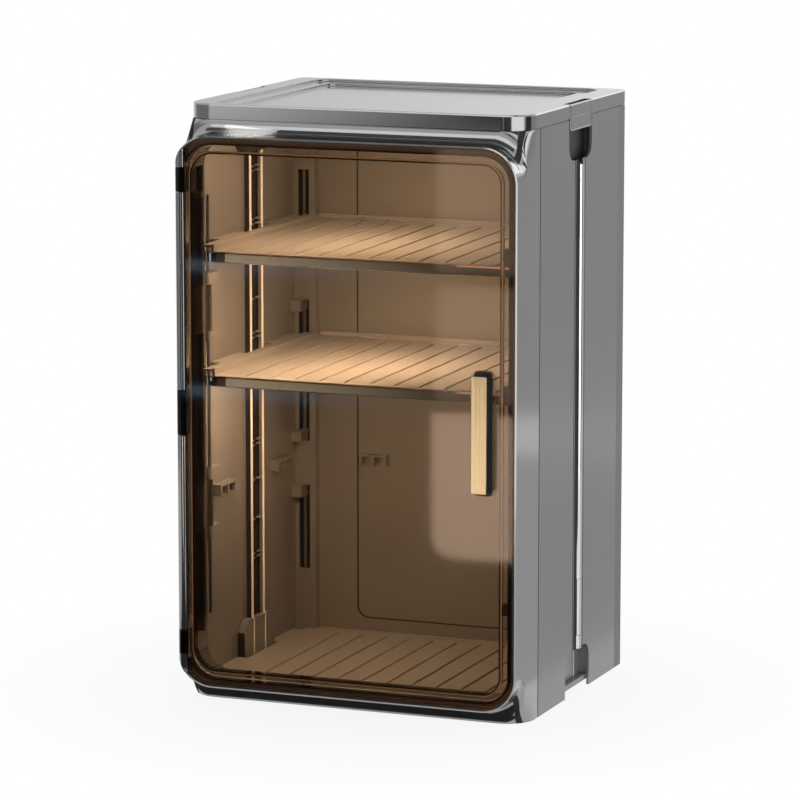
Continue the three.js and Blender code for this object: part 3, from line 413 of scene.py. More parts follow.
@dataclass(frozen=True)
class Metal:
    """Brushed or polished metal.

    Fields: name, colour (linear), roughness, how far the brushing is stretched along each axis, how much
    it changes the roughness and how deep it is in mm.
    """

    name: str
    colour: Colour
    roughness: float = 0.25
    stretch: tuple[float, float, float] = (900.0, 900.0, 30.0)
    spread: float = 0.12
    depth: float = 0.01

    def make(self) -> bpy.types.Material:
        """Builds the material.

        Returns:
            The new material.
        """
        material, graph = new_material(self.name)
        streaks = graph.noise(1.0, 4.0, graph.stretched(self.stretch))
        bump = graph.add(
            "ShaderNodeBump", None, {"Strength": 0.3, "Distance": self.depth * MM, "Height": streaks}
        )
        low = tuple(channel * STREAK_SHADE for channel in self.colour)
        shader = graph.add(
            "ShaderNodeBsdfPrincipled",
            None,
            {
                "Base Color": graph.blend(streaks, low, self.colour),
                "Metallic": 1.0,
                "Roughness": self.roughness + self.spread * (streaks - 0.5),
                "Normal": bump,
            },
        )
        graph.add("ShaderNodeOutputMaterial", None, {"Surface": shader})
        return material


# Zones that a finish treats apart from the rest: most get painted shade, the rail edges a painted highlight

POST_POCKET_SHADE = Zone((179.4, 184.6), (-11.6, 17.6))
FLANGE_FACE = Zone((-1.0, 187.0), (-16.4, -13.6), (19.5, 599.5))
HOUSING_FACE_SHADE = Zone((178.2, 187.0), (121.3, 122.3))
RAIL_FACE_SHADE = Zone((181.2, 187.0), (146.9, 147.6))
RAIL_EDGE_HIGHLIGHTS = (Zone((178.0, 181.2), (146.9, 149.5)), Zone((178.0, 181.2), (177.9, 180.6)))
BEHIND_RUNGS_SHADE = Zone((184.6, 187.6), (149.3, 178.3))
OUTER_GROOVE_SHADE = Zone((188.8, 190.2), (147.1, 148.9))
BARREL_SHINE = Zone((187.6, 195.0), (159.8, 168.6))
BARREL_SHADOWS = (Zone((184.6, 195.0), (150.9, 159.8)), Zone((187.6, 195.0), (168.6, 171.4)))
REAR_POCKET_SHADE = Zone((164.5, 183.6), (287.5, 300.0))
REAR_SIDES = Zone((189.0, 190.5), (286.5, 314.5))


class Skin(Enum):
    """The finishes of this cabinet, each with the record's slot that it belongs to."""

    CASE = (Moulded("case_grey", srgb(148, 148, 148), 0.12, flake=0.92), "case_plastic")
    FRAME = (
        Moulded(
            "frame_grey",
            srgb(148, 148, 148),
            0.12,
            flake=0.92,
            # painted shade in the post pockets
            deep=(POST_POCKET_SHADE,),
            matt_and_highlight=(FLANGE_FACE,),
        ),
        "case_plastic",
    )
    PANEL = (
        Moulded(
            "panel_grey",
            srgb(138, 138, 137),
            0.3,
            flake=0.45,
            coat=0.1,
            # painted shade behind the rungs, on the housing and rail faces, in the outer groove and beside
            # the barrel
            deep=(BEHIND_RUNGS_SHADE, HOUSING_FACE_SHADE, RAIL_FACE_SHADE, OUTER_GROOVE_SHADE, *BARREL_SHADOWS),
            polished=(BARREL_SHINE,),
            # painted highlight: the rail edges are near white
            matt_and_highlight=RAIL_EDGE_HIGHLIGHTS,
            matt_and_highlight_colour=(0.95, 0.93, 0.9),
        ),
        "panel_plastic",
    )
    REAR = (
        Moulded(
            "rear_grey",
            srgb(140, 140, 138),
            0.3,
            flake=0.45,
            coat=0.1,
            # painted shade in the rear pockets
            deep=(REAR_POCKET_SHADE,),
            matt_and_highlight=(REAR_SIDES,),
            matt_and_highlight_colour=(0.26, 0.26, 0.245),
        ),
        "panel_plastic",
    )
    DARK = (Moulded("dark_plastic", srgb(24, 24, 26), 0.2, coat=0.3), "dark_plastic")
    SHELF = (Moulded("shelf_plastic", srgb(202, 202, 200), 0.2, coat=0.4), "shelf_plastic")
    STEEL = (Metal("steel", srgb(150, 156, 162), 0.2), "steel")
    BAR = (Metal("polished_bar", srgb(232, 238, 246), 0.012, (30.0, 900.0, 900.0), 0.01, 0.001), "steel")
    GOLD = (Metal("gold_anodised", srgb(244, 220, 178), 0.3), "gold_metal")
    CLEAR = (Clear("brown_clear", (1.0, 0.81, 0.63), srgb(50, 32, 19)), "clear_brown")
    SEAT = (Clear("seat_clear", (0.96, 0.92, 0.87), srgb(60, 48, 38), 0.1), "clear_brown")
    # painted shade: near-black clear for the door's wall, lip and knuckles, for their darkening seen edge-on
    SMOKE = (Clear("clear_painted_edge_shade", (0.04, 0.03, 0.02), srgb(6, 5, 5), 0.8, gloss_ior=1.4), "clear_brown")
    # painted highlight: a near-white strip on the door lip's edge
    EDGE = (Moulded("painted_lip_highlight", srgb(250, 252, 255), 0.3, coat=0.0), "clear_brown")
    LEAF = (Clear("leaf_clear", (0.5, 0.42, 0.35), srgb(30, 22, 16), 0.2, gloss_ior=1.5), "clear_brown")

    def material(self) -> bpy.types.Material:
        """The finish's material, made at its first use."""
        finish = self.value[0]
        return bpy.data.materials.get(finish.name) or finish.make()

    @property
    def slot(self) -> str:
        """The record's slot."""
        return self.value[1]


# Shaping of solids, in millimetres


class Along(Enum):
    """The axis that a bar runs along, as the numbers of its section's two axes and of its own."""

    X = (1, 2, 0)
    Y = (0, 2, 1)
    Z = (0, 1, 2)


def arc(centre: Point, radii: Point, start: float, steps: int) -> list[Point]:
    """A quarter of an ellipse.

    Args:
        centre: its middle.
        radii: half axes along u and v.
        start: the angle that it starts from, in quarter turns.
        steps: its segments.

    Returns:
        Points from start to start + 1.
    """
    angles = [(start + step / steps) * math.pi / 2 for step in range(steps + 1)]
    return [
        (centre[0] + radii[0] * math.cos(angle), centre[1] + radii[1] * math.sin(angle))
        for angle in angles
    ]


def rounded(u: Span, v: Span, radii: Sequence[Point], inset: float = 0.0, steps: int = 8) -> list[Point]:
    """A rectangle with round corners.

    Args:
        u: low and high side.
        v: low and high side.
        radii: half axes of each corner's arc, anticlockwise from the low-u low-v corner.
        inset: how far the outline is drawn in.
        steps: segments of each corner.

    Returns:
        Its points, anticlockwise.
    """
    points: list[Point] = []
    sides = ((u[0], v[0], 1, 1), (u[1], v[0], -1, 1), (u[1], v[1], -1, -1), (u[0], v[1], 1, -1))
    for (side_u, side_v, to_u, to_v), radius, start in zip(sides, radii, (2, 3, 0, 1)):
        ru, rv = (max(r - inset, LEAST) for r in radius)
        centre = (side_u + to_u * (inset + ru), side_v + to_v * (inset + rv))
        points += arc(centre, (ru, rv), start, steps)
    return points


def roll(radius: float, steps: int = 5) -> list[Point]:
    """Rounding at the end of a bar.

    Args:
        radius: its radius; a negative one flares out.
        steps: its segments.

    Returns:
        Pairs of distance from the end and inset, from the end inwards.
    """
    if not radius:
        return [(0.0, 0.0)]
    size = abs(radius)
    angles = [step / steps * math.pi / 2 for step in range(steps + 1)]
    return [(size * (1 - math.cos(a)), math.copysign(size * (1 - math.sin(a)), radius)) for a in angles]


class Solid:
    """A closed mesh in millimetres, shaped by joins and cuts."""

    def __init__(self, rings: Sequence[Ring]) -> None:
        """Closes a skin over outlines that all have as many points.

        Args:
            rings: the outlines, one behind the other.
        """
        count = len(rings[0])
        shape = bmesh.new()
        rows = [[shape.verts.new(point) for point in ring] for ring in rings]
        for row, following in zip(rows, rows[1:]):
            for i in range(count):
                j = (i + 1) % count
                shape.faces.new((row[i], row[j], following[j], following[i]))
        shape.faces.new(rows[0])
        shape.faces.new(rows[-1])
        bmesh.ops.remove_doubles(shape, verts=shape.verts, dist=LEAST / 2)
        bmesh.ops.recalc_face_normals(shape, faces=shape.faces)
        mesh = bpy.data.meshes.new("blank")
        shape.to_mesh(mesh)
        shape.free()
        self.shape = bpy.data.objects.new("blank", mesh)
        bpy.context.scene.collection.objects.link(self.shape)

    def _combine(self, operation: str, others: Sequence["Solid"]) -> "Solid":
        """Applies one kind of boolean with several solids, which are used up.

        Args:
            operation: DIFFERENCE, UNION or INTERSECT.
            others: the other solids.

        Returns:
            This solid.
        """
        for other in others:
            modifier = self.shape.modifiers.new(operation, "BOOLEAN")
            modifier.operation = operation
            modifier.solver = "MANIFOLD"
            modifier.object = other.shape
        graph = bpy.context.evaluated_depsgraph_get()
        result = bpy.data.meshes.new_from_object(self.shape.evaluated_get(graph))
        self.shape.modifiers.clear()
        self.shape.data = result
        for other in others:
            bpy.data.objects.remove(other.shape)
        return self

    def cut(self, *others: "Solid") -> "Solid":
        """Takes the others away."""
        return self._combine("DIFFERENCE", others)

    def join(self, *others: "Solid") -> "Solid":
        """Adds the others."""
        return self._combine("UNION", others)

    def keep(self, *others: "Solid") -> "Solid":
        """Keeps what lies in the others too."""
        return self._combine("INTERSECT", others)

    def piece(self, name: str, skin: Skin, body: str, nodes: Sequence[str] = ()) -> bpy.types.Object:
        """Turns the solid into a finished piece in the cabinet's frame.

        Args:
            name: the piece's name.
            skin: its finish.
            body: the body that it rides on.
            nodes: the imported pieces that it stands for.

        Returns:
            The piece.
        """
        piece = self.shape
        piece.name = name
        mesh = piece.data
        mesh.name = name
        mesh.transform(Matrix.Scale(MM, 4) @ Matrix.Translation((0, SETBACK, 0)))
        mesh.materials.clear()
        mesh.materials.append(skin.material())
        mesh.shade_smooth()
        mesh.set_sharp_from_angle(angle=math.radians(SHARP_ANGLE))
        even = piece.modifiers.new("even_normals", "WEIGHTED_NORMAL")
        even.keep_sharp = True
        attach(piece, body)
        if nodes:
            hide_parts(*nodes)
        log.info("made %s: %d faces, %s", name, len(mesh.polygons), skin.value[0].name)
        return piece


def bar(
    along: Along,
    u: Span,
    v: Span,
    w: Span,
    radii: float | Sequence[float] = 0.0,
    ends: Point = (0.0, 0.0),
    steps: int = 8,
) -> Solid:
    """A straight bar with a rounded rectangle for its section.

    Args:
        along: the axis that it runs along; u and v are the other two in the order x, y, z.
        u: the section's span along u.
        v: its span along v.
        w: the bar's span along its own axis.
        radii: the corners' radii, one for all or anticlockwise from the low-u low-v corner.
        ends: rounding of the low and the high end; a negative one flares the end out and past it, for a
            cut that leaves a rounded edge.
        steps: segments of each corner.

    Returns:
        The solid.
    """
    u, v, w = sorted(u), sorted(v), sorted(w)
    each = [radii] * 4 if isinstance(radii, (int, float)) else list(radii)
    corners = [(radius, radius) for radius in each]
    low = [(w[0] + away, inset) for away, inset in roll(ends[0])]
    high = [(w[1] - away, inset) for away, inset in reversed(roll(ends[1]))]
    if ends[0] < 0:
        low.insert(0, (w[0] - OVER, ends[0]))
    if ends[1] < 0:
        high.append((w[1] + OVER, ends[1]))
    rings = []
    for place, inset in low + high:
        ring = []
        for point in rounded(u, v, corners, inset, steps if any(each) else 1):
            spot = [0.0, 0.0, 0.0]
            for axis, value in zip(along.value, (*point, place)):
                spot[axis] = value
            ring.append(tuple(spot))
        rings.append(ring)
    return Solid(rings)


def rod(along: Along, centre: Point, w: Span, radius: float, end: float = 0.0, steps: int = 8) -> Solid:
    """A round bar.

    Args:
        along: the axis that it runs along.
        centre: its place across that axis.
        w: its span along it.
        radius: its radius.
        end: rounding of both ends.
        steps: segments of each quarter.

    Returns:
        The solid.
    """
    u = (centre[0] - radius, centre[0] + radius)
    v = (centre[1] - radius, centre[1] + radius)
    return bar(along, u, v, w, radius, (end, end), steps)


def plate(points: Sequence[Point], z: Span) -> Solid:
    """An outline in x and y, raised from one height to another.

    Args:
        points: the outline.
        z: low and high side.

    Returns:
        The solid.
    """
    return Solid([[(x, y, height) for x, y in points] for height in z])


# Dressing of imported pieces

WELD_DISTANCE = 0.002  # in mm
FLAT_ANGLE = 0.5  # degrees, below which two faces count as one
ROUND_ANGLE = 32.0  # degrees, above which an edge is rounded


def dress(node: bpy.types.Object, skin: Skin, edge: float = 0.4, segments: int = 2) -> None:
    """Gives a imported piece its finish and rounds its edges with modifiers.

    Args:
        node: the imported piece.
        skin: its finish.
        edge: the rounding's width in mm, or 0 for none.
        segments: steps across the rounding.
    """
    node.data.materials.clear()
    node.data.materials.append(skin.material())
    node.data.shade_smooth()
    weld = node.modifiers.new("weld", "WELD")
    weld.merge_threshold = WELD_DISTANCE * MM
    flat = node.modifiers.new("merge_flats", "DECIMATE")
    flat.decimate_type = "DISSOLVE"
    flat.angle_limit = math.radians(FLAT_ANGLE)
    if edge:
        bevel = node.modifiers.new("round_edges", "BEVEL")
        bevel.width = edge * MM
        bevel.segments = segments
        bevel.limit_method = "ANGLE"
        bevel.angle_limit = math.radians(ROUND_ANGLE)
        bevel.use_clamp_overlap = True
        bevel.harden_normals = True
    even = node.modifiers.new("even_normals", "WEIGHTED_NORMAL")
    even.keep_sharp = False
    log.info("dressed %s with %s", node.name, skin.value[0].name)


# The cabinet's pieces


@dataclass(frozen=True)
class Plan:
    """Leading places of the cabinet in mm, with y = 0 at the lid's front face and z up."""

    half_width: float = 190.0
    depth: float = 314.0
    height: float = 632.0
    seam: float = 616.0
    wall_top: float = 615.7
    inner: float = 187.2
    middle: float = 163.75
    rear_seam: float = 286.0
    rear_edge: float = 295.6
    post_width: float = 27.0
    post_gap: float = 1.4
    inner_half: float = 174.0
    rim_front: float = -28.8
    flange: float = -16.0
    rim_top: float = 602.0
    rim_foot: float = 17.0
    window_half: float = 177.0
    post_back: float = 22.0
    hinge: Point = (-184.0, -22.8)
    hinge_radius: float = 6.0
    knuckles: tuple[Span, ...] = ((51.0, 77.0), (285.5, 333.5), (542.0, 568.0))


PLAN = Plan()


@dataclass
class FrontFrame:
    """One moulding: rim round the door, concave neck, flange, window and posts."""

    seam_y: float = 41.5
    seam_groove: Point = (2.2, 1.5)
    rim_edge: tuple[Point, ...] = ((1.05, 0.0), (0.0, 1.45), (0.0, 1.8), (0.2, 2.0))
    corner: float = 30.0
    corner_steps: tuple[float, ...] = (35.4, 34.0, 32.0)
    rim_radius: float = 38.0
    rim_wall: float = 2.0
    rim_fillet: float = 1.4
    neck_reach: float = 14.0
    neck_corner_height: float = 40.0
    neck_corner_run: float = 36.0
    window_foot: float = 27.0
    window_top: float = 592.0
    window_radius: float = 26.0
    pocket_depth: float = 7.0
    pocket_margin: float = 5.0
    pocket_bands: tuple[Span, ...] = (
        (83.5, 178.3),
        (228.3, 387.7),
        (437.7, 532.5),
        (537.5, 566.0),
    )
    boss_bands: tuple[Span, ...] = ((178.3, 228.3), (387.7, 437.7))
    boss_radius: float = 3.6
    rod_place: Point = (179.0, 33.5)
    rod_span: Span = (80.0, 536.0)
    bore_radius: float = 2.4
    bore_reach: float = 6.0
    knuckle_gap: float = 0.6
    foot_ledge: float = 5.7
    strike_x: float = 176.4
    strike_size: Point = (7.6, 11.6)
    strike_depth: float = 1.5
    strike_heights: Point = (126.0, 493.0)
    arc_steps: int = 14

    def build(self) -> bpy.types.Object:
        """Makes the frame.

        Returns:
            The piece.
        """
        shell = Solid(self._rings())
        shell.cut(*self._openings())
        shell.join(self._hinge_column(), *self._bosses())
        for sign in SIDES:
            centre = (sign * self.rod_place[0], self.rod_place[1])
            shell.cut(rod(Along.Z, centre, self.rod_span, self.bore_radius))
        return shell.piece("frame_moulding", Skin.FRAME, "case", ["front_frame"])

    def _extent(self, y: float) -> tuple[float, float, float, float]:
        """Top, foot and the corner's two half axes of the outline at a depth.

        Args:
            y: the depth.

        Returns:
            Top, foot, and the corner's half axes across and down.
        """
        across, down = self.rim_radius, self.rim_radius
        top, foot = PLAN.rim_top, PLAN.rim_foot
        if -self.neck_reach < y <= 0:
            share = (y + self.neck_reach) / self.neck_reach
            opened = 1 - math.sqrt(max(0.0, 1 - share * share))
            top += (PLAN.seam - PLAN.rim_top) * opened
            foot *= 1 - opened
            across += (self.corner - self.rim_radius) * opened
            down += (self.neck_corner_height - self.rim_radius) * opened
        elif y > 0:
            ahead = max(0.0, self.corner - y)
            top, foot = PLAN.wall_top, 0.0
            across = self.corner - math.sqrt(self.corner**2 - ahead**2)
            down = self.neck_corner_height * math.sqrt(max(0.0, 1 - (y / self.neck_corner_run) ** 2))
        return min(top, PLAN.wall_top), foot, across, down

    def _outline(self, y: float, inset: float = 0.0) -> Ring:
        """The frame's outline at a depth, drawn in by an inset.

        Args:
            y: the depth.
            inset: how far it is drawn in.

        Returns:
            The outline.
        """
        top, foot, across, down = self._extent(y)
        width = (-PLAN.half_width, PLAN.half_width)
        points = rounded(width, (foot, top), [(across, down)] * 4, inset, self.arc_steps)
        return [(x, y, z) for x, z in points]

    def _rings(self) -> list[Ring]:
        """Outlines from the rear, over the rim's rounded edge, to the flange.

        Returns:
            The outlines, in order.
        """
        quarter = math.pi / 2
        turns = [step / 12 * quarter for step in range(13)]
        rear = [self.seam_y - self.seam_groove[0] - LEAST, self.neck_corner_run, *self.corner_steps]
        corner = [self.corner * (1 - math.sin(turn)) for turn in turns]
        neck = [-self.neck_reach * (1 - math.cos(turn)) for turn in turns[1:]]
        width, depth = self.seam_groove
        rings = [self._outline(y, depth) for y in (self.seam_y, self.seam_y - width)]
        rings += [self._outline(y) for y in rear + corner + neck]
        rings += [self._at(PLAN.rim_front + back, inset) for back, inset in self.rim_edge]
        for turn in turns[::3]:
            y = PLAN.flange - self.rim_fillet * (1 - math.sin(turn))
            rings.append(self._at(y, self.rim_wall + self.rim_fillet * (1 - math.cos(turn))))
        return rings

    def _at(self, y: float, inset: float) -> Ring:
        """The rim's outline, drawn in, at any depth."""
        return [(x, y, z) for x, _, z in self._outline(PLAN.rim_front, inset)]

    def _openings(self) -> list[Solid]:
        """What is cut out of the shell.

        Returns:
            The door hinge's side, the window, the room behind and the pockets.
        """
        cuts = [
            bar(
                Along.Y,
                (-PLAN.half_width - OVER, PLAN.hinge[0]),
                (PLAN.rim_foot + self.rim_wall, PLAN.rim_top - self.rim_wall),
                (PLAN.rim_front - OVER, PLAN.flange),
            ),
            bar(
                Along.Y,
                (-PLAN.window_half, PLAN.window_half),
                (self.window_foot, self.window_top),
                (PLAN.flange, PLAN.post_back),
                self.window_radius,
                (-1.2, -1.0),
                12,
            ),
            bar(
                Along.Z,
                (-PLAN.inner, PLAN.inner),
                (PLAN.post_back, self.seam_y + OVER),
                (self.foot_ledge, PLAN.height),
            ),
        ]
        for sign in SIDES:
            reach = (sign * (PLAN.window_half - OVER), sign * (PLAN.window_half + self.pocket_depth))
            depth = (PLAN.flange + self.pocket_margin, PLAN.post_back - self.pocket_margin)
            cuts += [bar(Along.X, depth, band, reach, 1.0) for band in self.pocket_bands]
        half_x, half_z = self.strike_size[0] / 2, self.strike_size[1] / 2
        for height in self.strike_heights:
            across = (self.strike_x - half_x, self.strike_x + half_x)
            depth = (PLAN.flange - OVER, PLAN.flange + self.strike_depth)
            cuts.append(bar(Along.Y, across, (height - half_z, height + half_z), depth))
        return cuts

    def _hinge_column(self) -> Solid:
        """The rounded column down the left edge that carries the door hinge.

        Returns:
            The column, bored.
        """
        x, y = PLAN.hinge
        radius = PLAN.hinge_radius
        column = rod(Along.Z, PLAN.hinge, (PLAN.rim_foot, PLAN.rim_top), radius, steps=16)
        web = bar(
            Along.Z, (-PLAN.half_width, x + radius), (y, PLAN.flange + OVER), (PLAN.rim_foot, PLAN.rim_top)
        )
        rim = bar(
            Along.Y,
            (-PLAN.half_width, PLAN.half_width),
            (PLAN.rim_foot, PLAN.rim_top),
            (PLAN.rim_front - OVER, PLAN.flange + OVER),
            self.rim_radius,
            steps=self.arc_steps,
        )
        column.join(web).keep(rim)
        for low, high in PLAN.knuckles:
            column.cut(
                bar(
                    Along.Z,
                    (-PLAN.half_width - OVER, x + radius + OVER),
                    (PLAN.rim_front - OVER, PLAN.flange),
                    (low - self.knuckle_gap, high + self.knuckle_gap),
                )
            )
        span = (PLAN.knuckles[0][0] - self.bore_reach, PLAN.knuckles[-1][1] + self.bore_reach)
        return column.cut(rod(Along.Z, PLAN.hinge, span, self.bore_radius))

    def _bosses(self) -> list[Solid]:
        """Lugs round the corner hinge rods.

        Returns:
            The lugs of both sides.
        """
        lugs = []
        x, y = self.rod_place
        for sign in SIDES:
            for band in self.boss_bands:
                lug = rod(Along.Z, (sign * x, y), band, self.boss_radius)
                across, depth = (sign * x, sign * (PLAN.inner + 1)), (PLAN.post_back, y + self.boss_radius)
                lugs.append(lug.join(bar(Along.Z, across, depth, band)))
        return lugs


@dataclass
class Lid:
    """Lift-off lid with a stepped recess, rounded top edge and slots for the two latches."""

    corner: float = 30.0
    rear_corner: float = 8.0
    edge: Point = (1.05, 1.8)
    seam_groove: Point = (1.0, 1.2)
    slit: float = 3.2
    slit_depth: float = 7.0
    wall: float = 3.0
    skin: float = 2.5
    side_rim: float = 26.0
    end_rim: float = 9.0
    step_drop: float = 2.7
    step_width: float = 18.0
    panel_drop: float = 2.8
    recess_radius: float = 20.0
    slot_half: float = 34.8
    slot_inner: float = 185.1
    block_reach: float = 6.0
    lip_wall: float = 1.8
    lip_depth: float = 8.0
    side_lip: Span = (184.9, 186.7)
    side_lips: tuple[Span, ...] = ((44.5, 118.75), (208.75, 283.0))
    end_lips: Point = (22.5, 294.7)
    pin: Point = (188.2, 629.1)
    pin_bore: float = 1.5
    pin_reach: float = 3.3

    def build(self) -> bpy.types.Object:
        """Makes the lid.

        Returns:
            The piece.
        """
        radii = (self.corner, self.corner, self.rear_corner, self.rear_corner)
        lid = Solid([self._outline(z, inset) for z, inset in self._profile()])
        plate_top = PLAN.height - self.step_drop - self.panel_drop
        inner = tuple(radius - self.wall for radius in radii)
        lid.cut(
            self._recess(0.0, PLAN.height, self.step_drop, self.recess_radius),
            self._recess(
                self.step_width, PLAN.height - self.step_drop, self.panel_drop, self.recess_radius * 0.75
            ),
            bar(
                Along.Z,
                (self.wall - PLAN.half_width, PLAN.half_width - self.wall),
                (self.wall, PLAN.depth - self.wall),
                (PLAN.seam - OVER, plate_top - self.skin),
                inner,
            ),
        )
        lid.join(*self._blocks(plate_top))
        for sign in SIDES:
            lid.cut(
                bar(
                    Along.Z,
                    (sign * self.slot_inner, sign * (PLAN.half_width + OVER)),
                    self._round_middle(self.slot_half),
                    (PLAN.seam - OVER, PLAN.height + OVER),
                    0.6,
                ),
                bar(
                    Along.Z,
                    (sign * (self.slot_inner - self.slit), sign * (self.slot_inner + OVER)),
                    self._round_middle(self.slot_half),
                    (PLAN.height - self.slit_depth, PLAN.height + OVER),
                ),
                rod(
                    Along.Y,
                    (sign * self.pin[0], self.pin[1]),
                    self._round_middle(self.slot_half + self.pin_reach),
                    self.pin_bore,
                ),
            )
        return lid.piece("lid_moulding", Skin.CASE, "lid", ["top_lid"])

    @staticmethod
    def _round_middle(half: float) -> Span:
        """A span of depths round the middle of the sides."""
        return PLAN.middle - half, PLAN.middle + half

    def _profile(self) -> list[Point]:
        """Heights and insets of the lid's outline: a groove over the seam and a chamfered top edge.

        Returns:
            Pairs of height and inset, from the seam up.
        """
        across, down = self.edge
        groove, depth = self.seam_groove
        seam, top = PLAN.seam, PLAN.height
        return [
            (seam, depth),
            (seam + groove, depth),
            (seam + groove + LEAST, 0.0),
            (top - down, 0.0),
            (top - down * 0.85, across * 0.06),
            (top - down * 0.12, across * 0.78),
            (top, across),
        ]

    def _outline(self, z: float, inset: float) -> Ring:
        """The lid's outline, drawn in, at a height.

        Args:
            z: the height.
            inset: how far it is drawn in.

        Returns:
            The outline.
        """
        radii = [(self.corner, self.corner)] * 2 + [(self.rear_corner, self.rear_corner)] * 2
        width = (-PLAN.half_width, PLAN.half_width)
        return [(x, y, z) for x, y in rounded(width, (0.0, PLAN.depth), radii, inset, 16)]

    def _recess(self, margin: float, top: float, drop: float, radius: float) -> Solid:
        """A rounded recess inside the rim and a margin, with soft edges.

        Args:
            margin: how far it is drawn in from the rim.
            top: the height that it opens at.
            drop: its depth.
            radius: its corners' radius.

        Returns:
            The recess, to be cut out.
        """
        side, end = self.side_rim + margin, self.end_rim + margin
        return bar(
            Along.Z,
            (side - PLAN.half_width, PLAN.half_width - side),
            (end, PLAN.depth - end),
            (top - drop, top),
            radius,
            (1.0, -0.9),
            12,
        )

    def _blocks(self, plate_top: float) -> list[Solid]:
        """Blocks that hold the latch pins and lips that locate the lid.

        Args:
            plate_top: height of the lid's sunk panel.

        Returns:
            The blocks and the lips.
        """
        parts = []
        lip = (PLAN.seam - self.lip_depth, plate_top - 1)
        block = (PLAN.seam, plate_top - self.skin + 1)
        inner, outer = self.slot_inner - self.slit - self.wall, PLAN.half_width - self.wall / 2
        for sign in SIDES:
            depth = self._round_middle(self.slot_half + self.block_reach)
            parts.append(bar(Along.Z, (sign * inner, sign * outer), depth, block))
            reach = (sign * self.side_lip[0], sign * self.side_lip[1])
            parts += [bar(Along.Z, reach, span, lip, ends=(0.6, 0.0)) for span in self.side_lips]
        half = PLAN.half_width - PLAN.post_width - self.wall
        for front in self.end_lips:
            parts.append(bar(Along.Z, (-half, half), (front, front + self.lip_wall), lip, ends=(0.6, 0.0)))
        return parts


@dataclass
class Door:
    """Clear door: a plate with rounded edges, a wall, a lip and knuckles painted near black as shade, a
    strip on the lip painted as its highlight, and a handle.
    """

    left: float = -177.2
    right: float = 187.2
    foot: float = 19.8
    top: float = 599.2
    radius: float = 35.2
    hinge_side_radius: float = 40.2
    skin: float = 3.0
    depth: float = 12.0
    wall: float = 1.5
    wall_inset: float = 5.5
    wall_gap: float = 0.02
    lip_inset: float = 14.7
    edge_width: float = 1.5
    edge_lap: float = 0.1
    edge_depth: float = 5.0
    bore_radius: float = 2.4
    arc_steps: int = 16

    def build(self) -> list[bpy.types.Object]:
        """Makes the door's pieces.

        Returns:
            The pieces.
        """
        pane = self._ring(0.0, (PLAN.rim_front, PLAN.rim_front + self.skin), (1.1, 0.4))
        pane.cut(self._hinge_room())
        pieces = [pane.piece("door_pane", Skin.CLEAR, "door", ["door_panel"])]
        front = PLAN.rim_front + self.skin + self.wall_gap
        # The wall and the lip are near black: painted shade for their darkening seen edge-on.
        for name, inset, edge in (("door_wall", self.wall_inset, 0.3), ("door_lip", self.lip_inset, 0.6)):
            back = PLAN.rim_front + self.depth
            wall = self._ring(inset, (front, back), (0.0, edge))
            wall.cut(self._ring(inset + self.wall, (PLAN.rim_front, back), (0.0, -edge)))
            wall.cut(self._hinge_room())
            pieces.append(wall.piece(name, Skin.SMOKE, "door"))
        # A near-white strip on the lip's edge: a painted highlight.
        back = PLAN.rim_front + self.edge_depth
        edge = self._ring(self.lip_inset - self.edge_width, (front, back), (0.8, 0.3))
        edge.cut(self._ring(self.lip_inset - self.edge_lap, (PLAN.rim_front, back), (0.0, -0.3)))
        pieces.append(edge.cut(self._hinge_room()).piece("door_lip_highlight", Skin.EDGE, "door"))
        # The knuckles are near black too, as painted shade.
        for number, (low, high) in enumerate(PLAN.knuckles):
            knuckle = rod(Along.Z, PLAN.hinge, (low, high), PLAN.hinge_radius, 0.6, 16)
            arm = bar(
                Along.Z,
                (PLAN.hinge[0], self.left - 0.1),
                (PLAN.rim_front, PLAN.rim_front + self.skin),
                (low, high),
                ends=(0.5, 0.5),
            )
            bore = rod(Along.Z, PLAN.hinge, (low - OVER, high + OVER), self.bore_radius)
            pieces.append(knuckle.join(arm).cut(bore).piece(f"door_knuckle_{number}", Skin.SMOKE, "door"))
        return pieces

    def _ring(self, inset: float, y: Span, ends: Point) -> Solid:
        """The door's outline, drawn in and run between two depths.

        Args:
            inset: how far it is drawn in.
            y: low and high depth.
            ends: rounding of its front and rear edge.

        Returns:
            The solid.
        """
        near, far = self.hinge_side_radius, self.radius
        return bar(
            Along.Y,
            (inset - self.right, self.right - inset),
            (self.foot + inset, self.top - inset),
            y,
            (near - inset, far - inset, far - inset, near - inset),
            ends,
            self.arc_steps,
        )

    def _hinge_room(self) -> Solid:
        """The space of the hinge column, left free by the door."""
        return bar(
            Along.Z,
            (-PLAN.half_width - OVER, self.left),
            (PLAN.rim_front - OVER, PLAN.flange + OVER),
            (0.0, PLAN.height),
        )


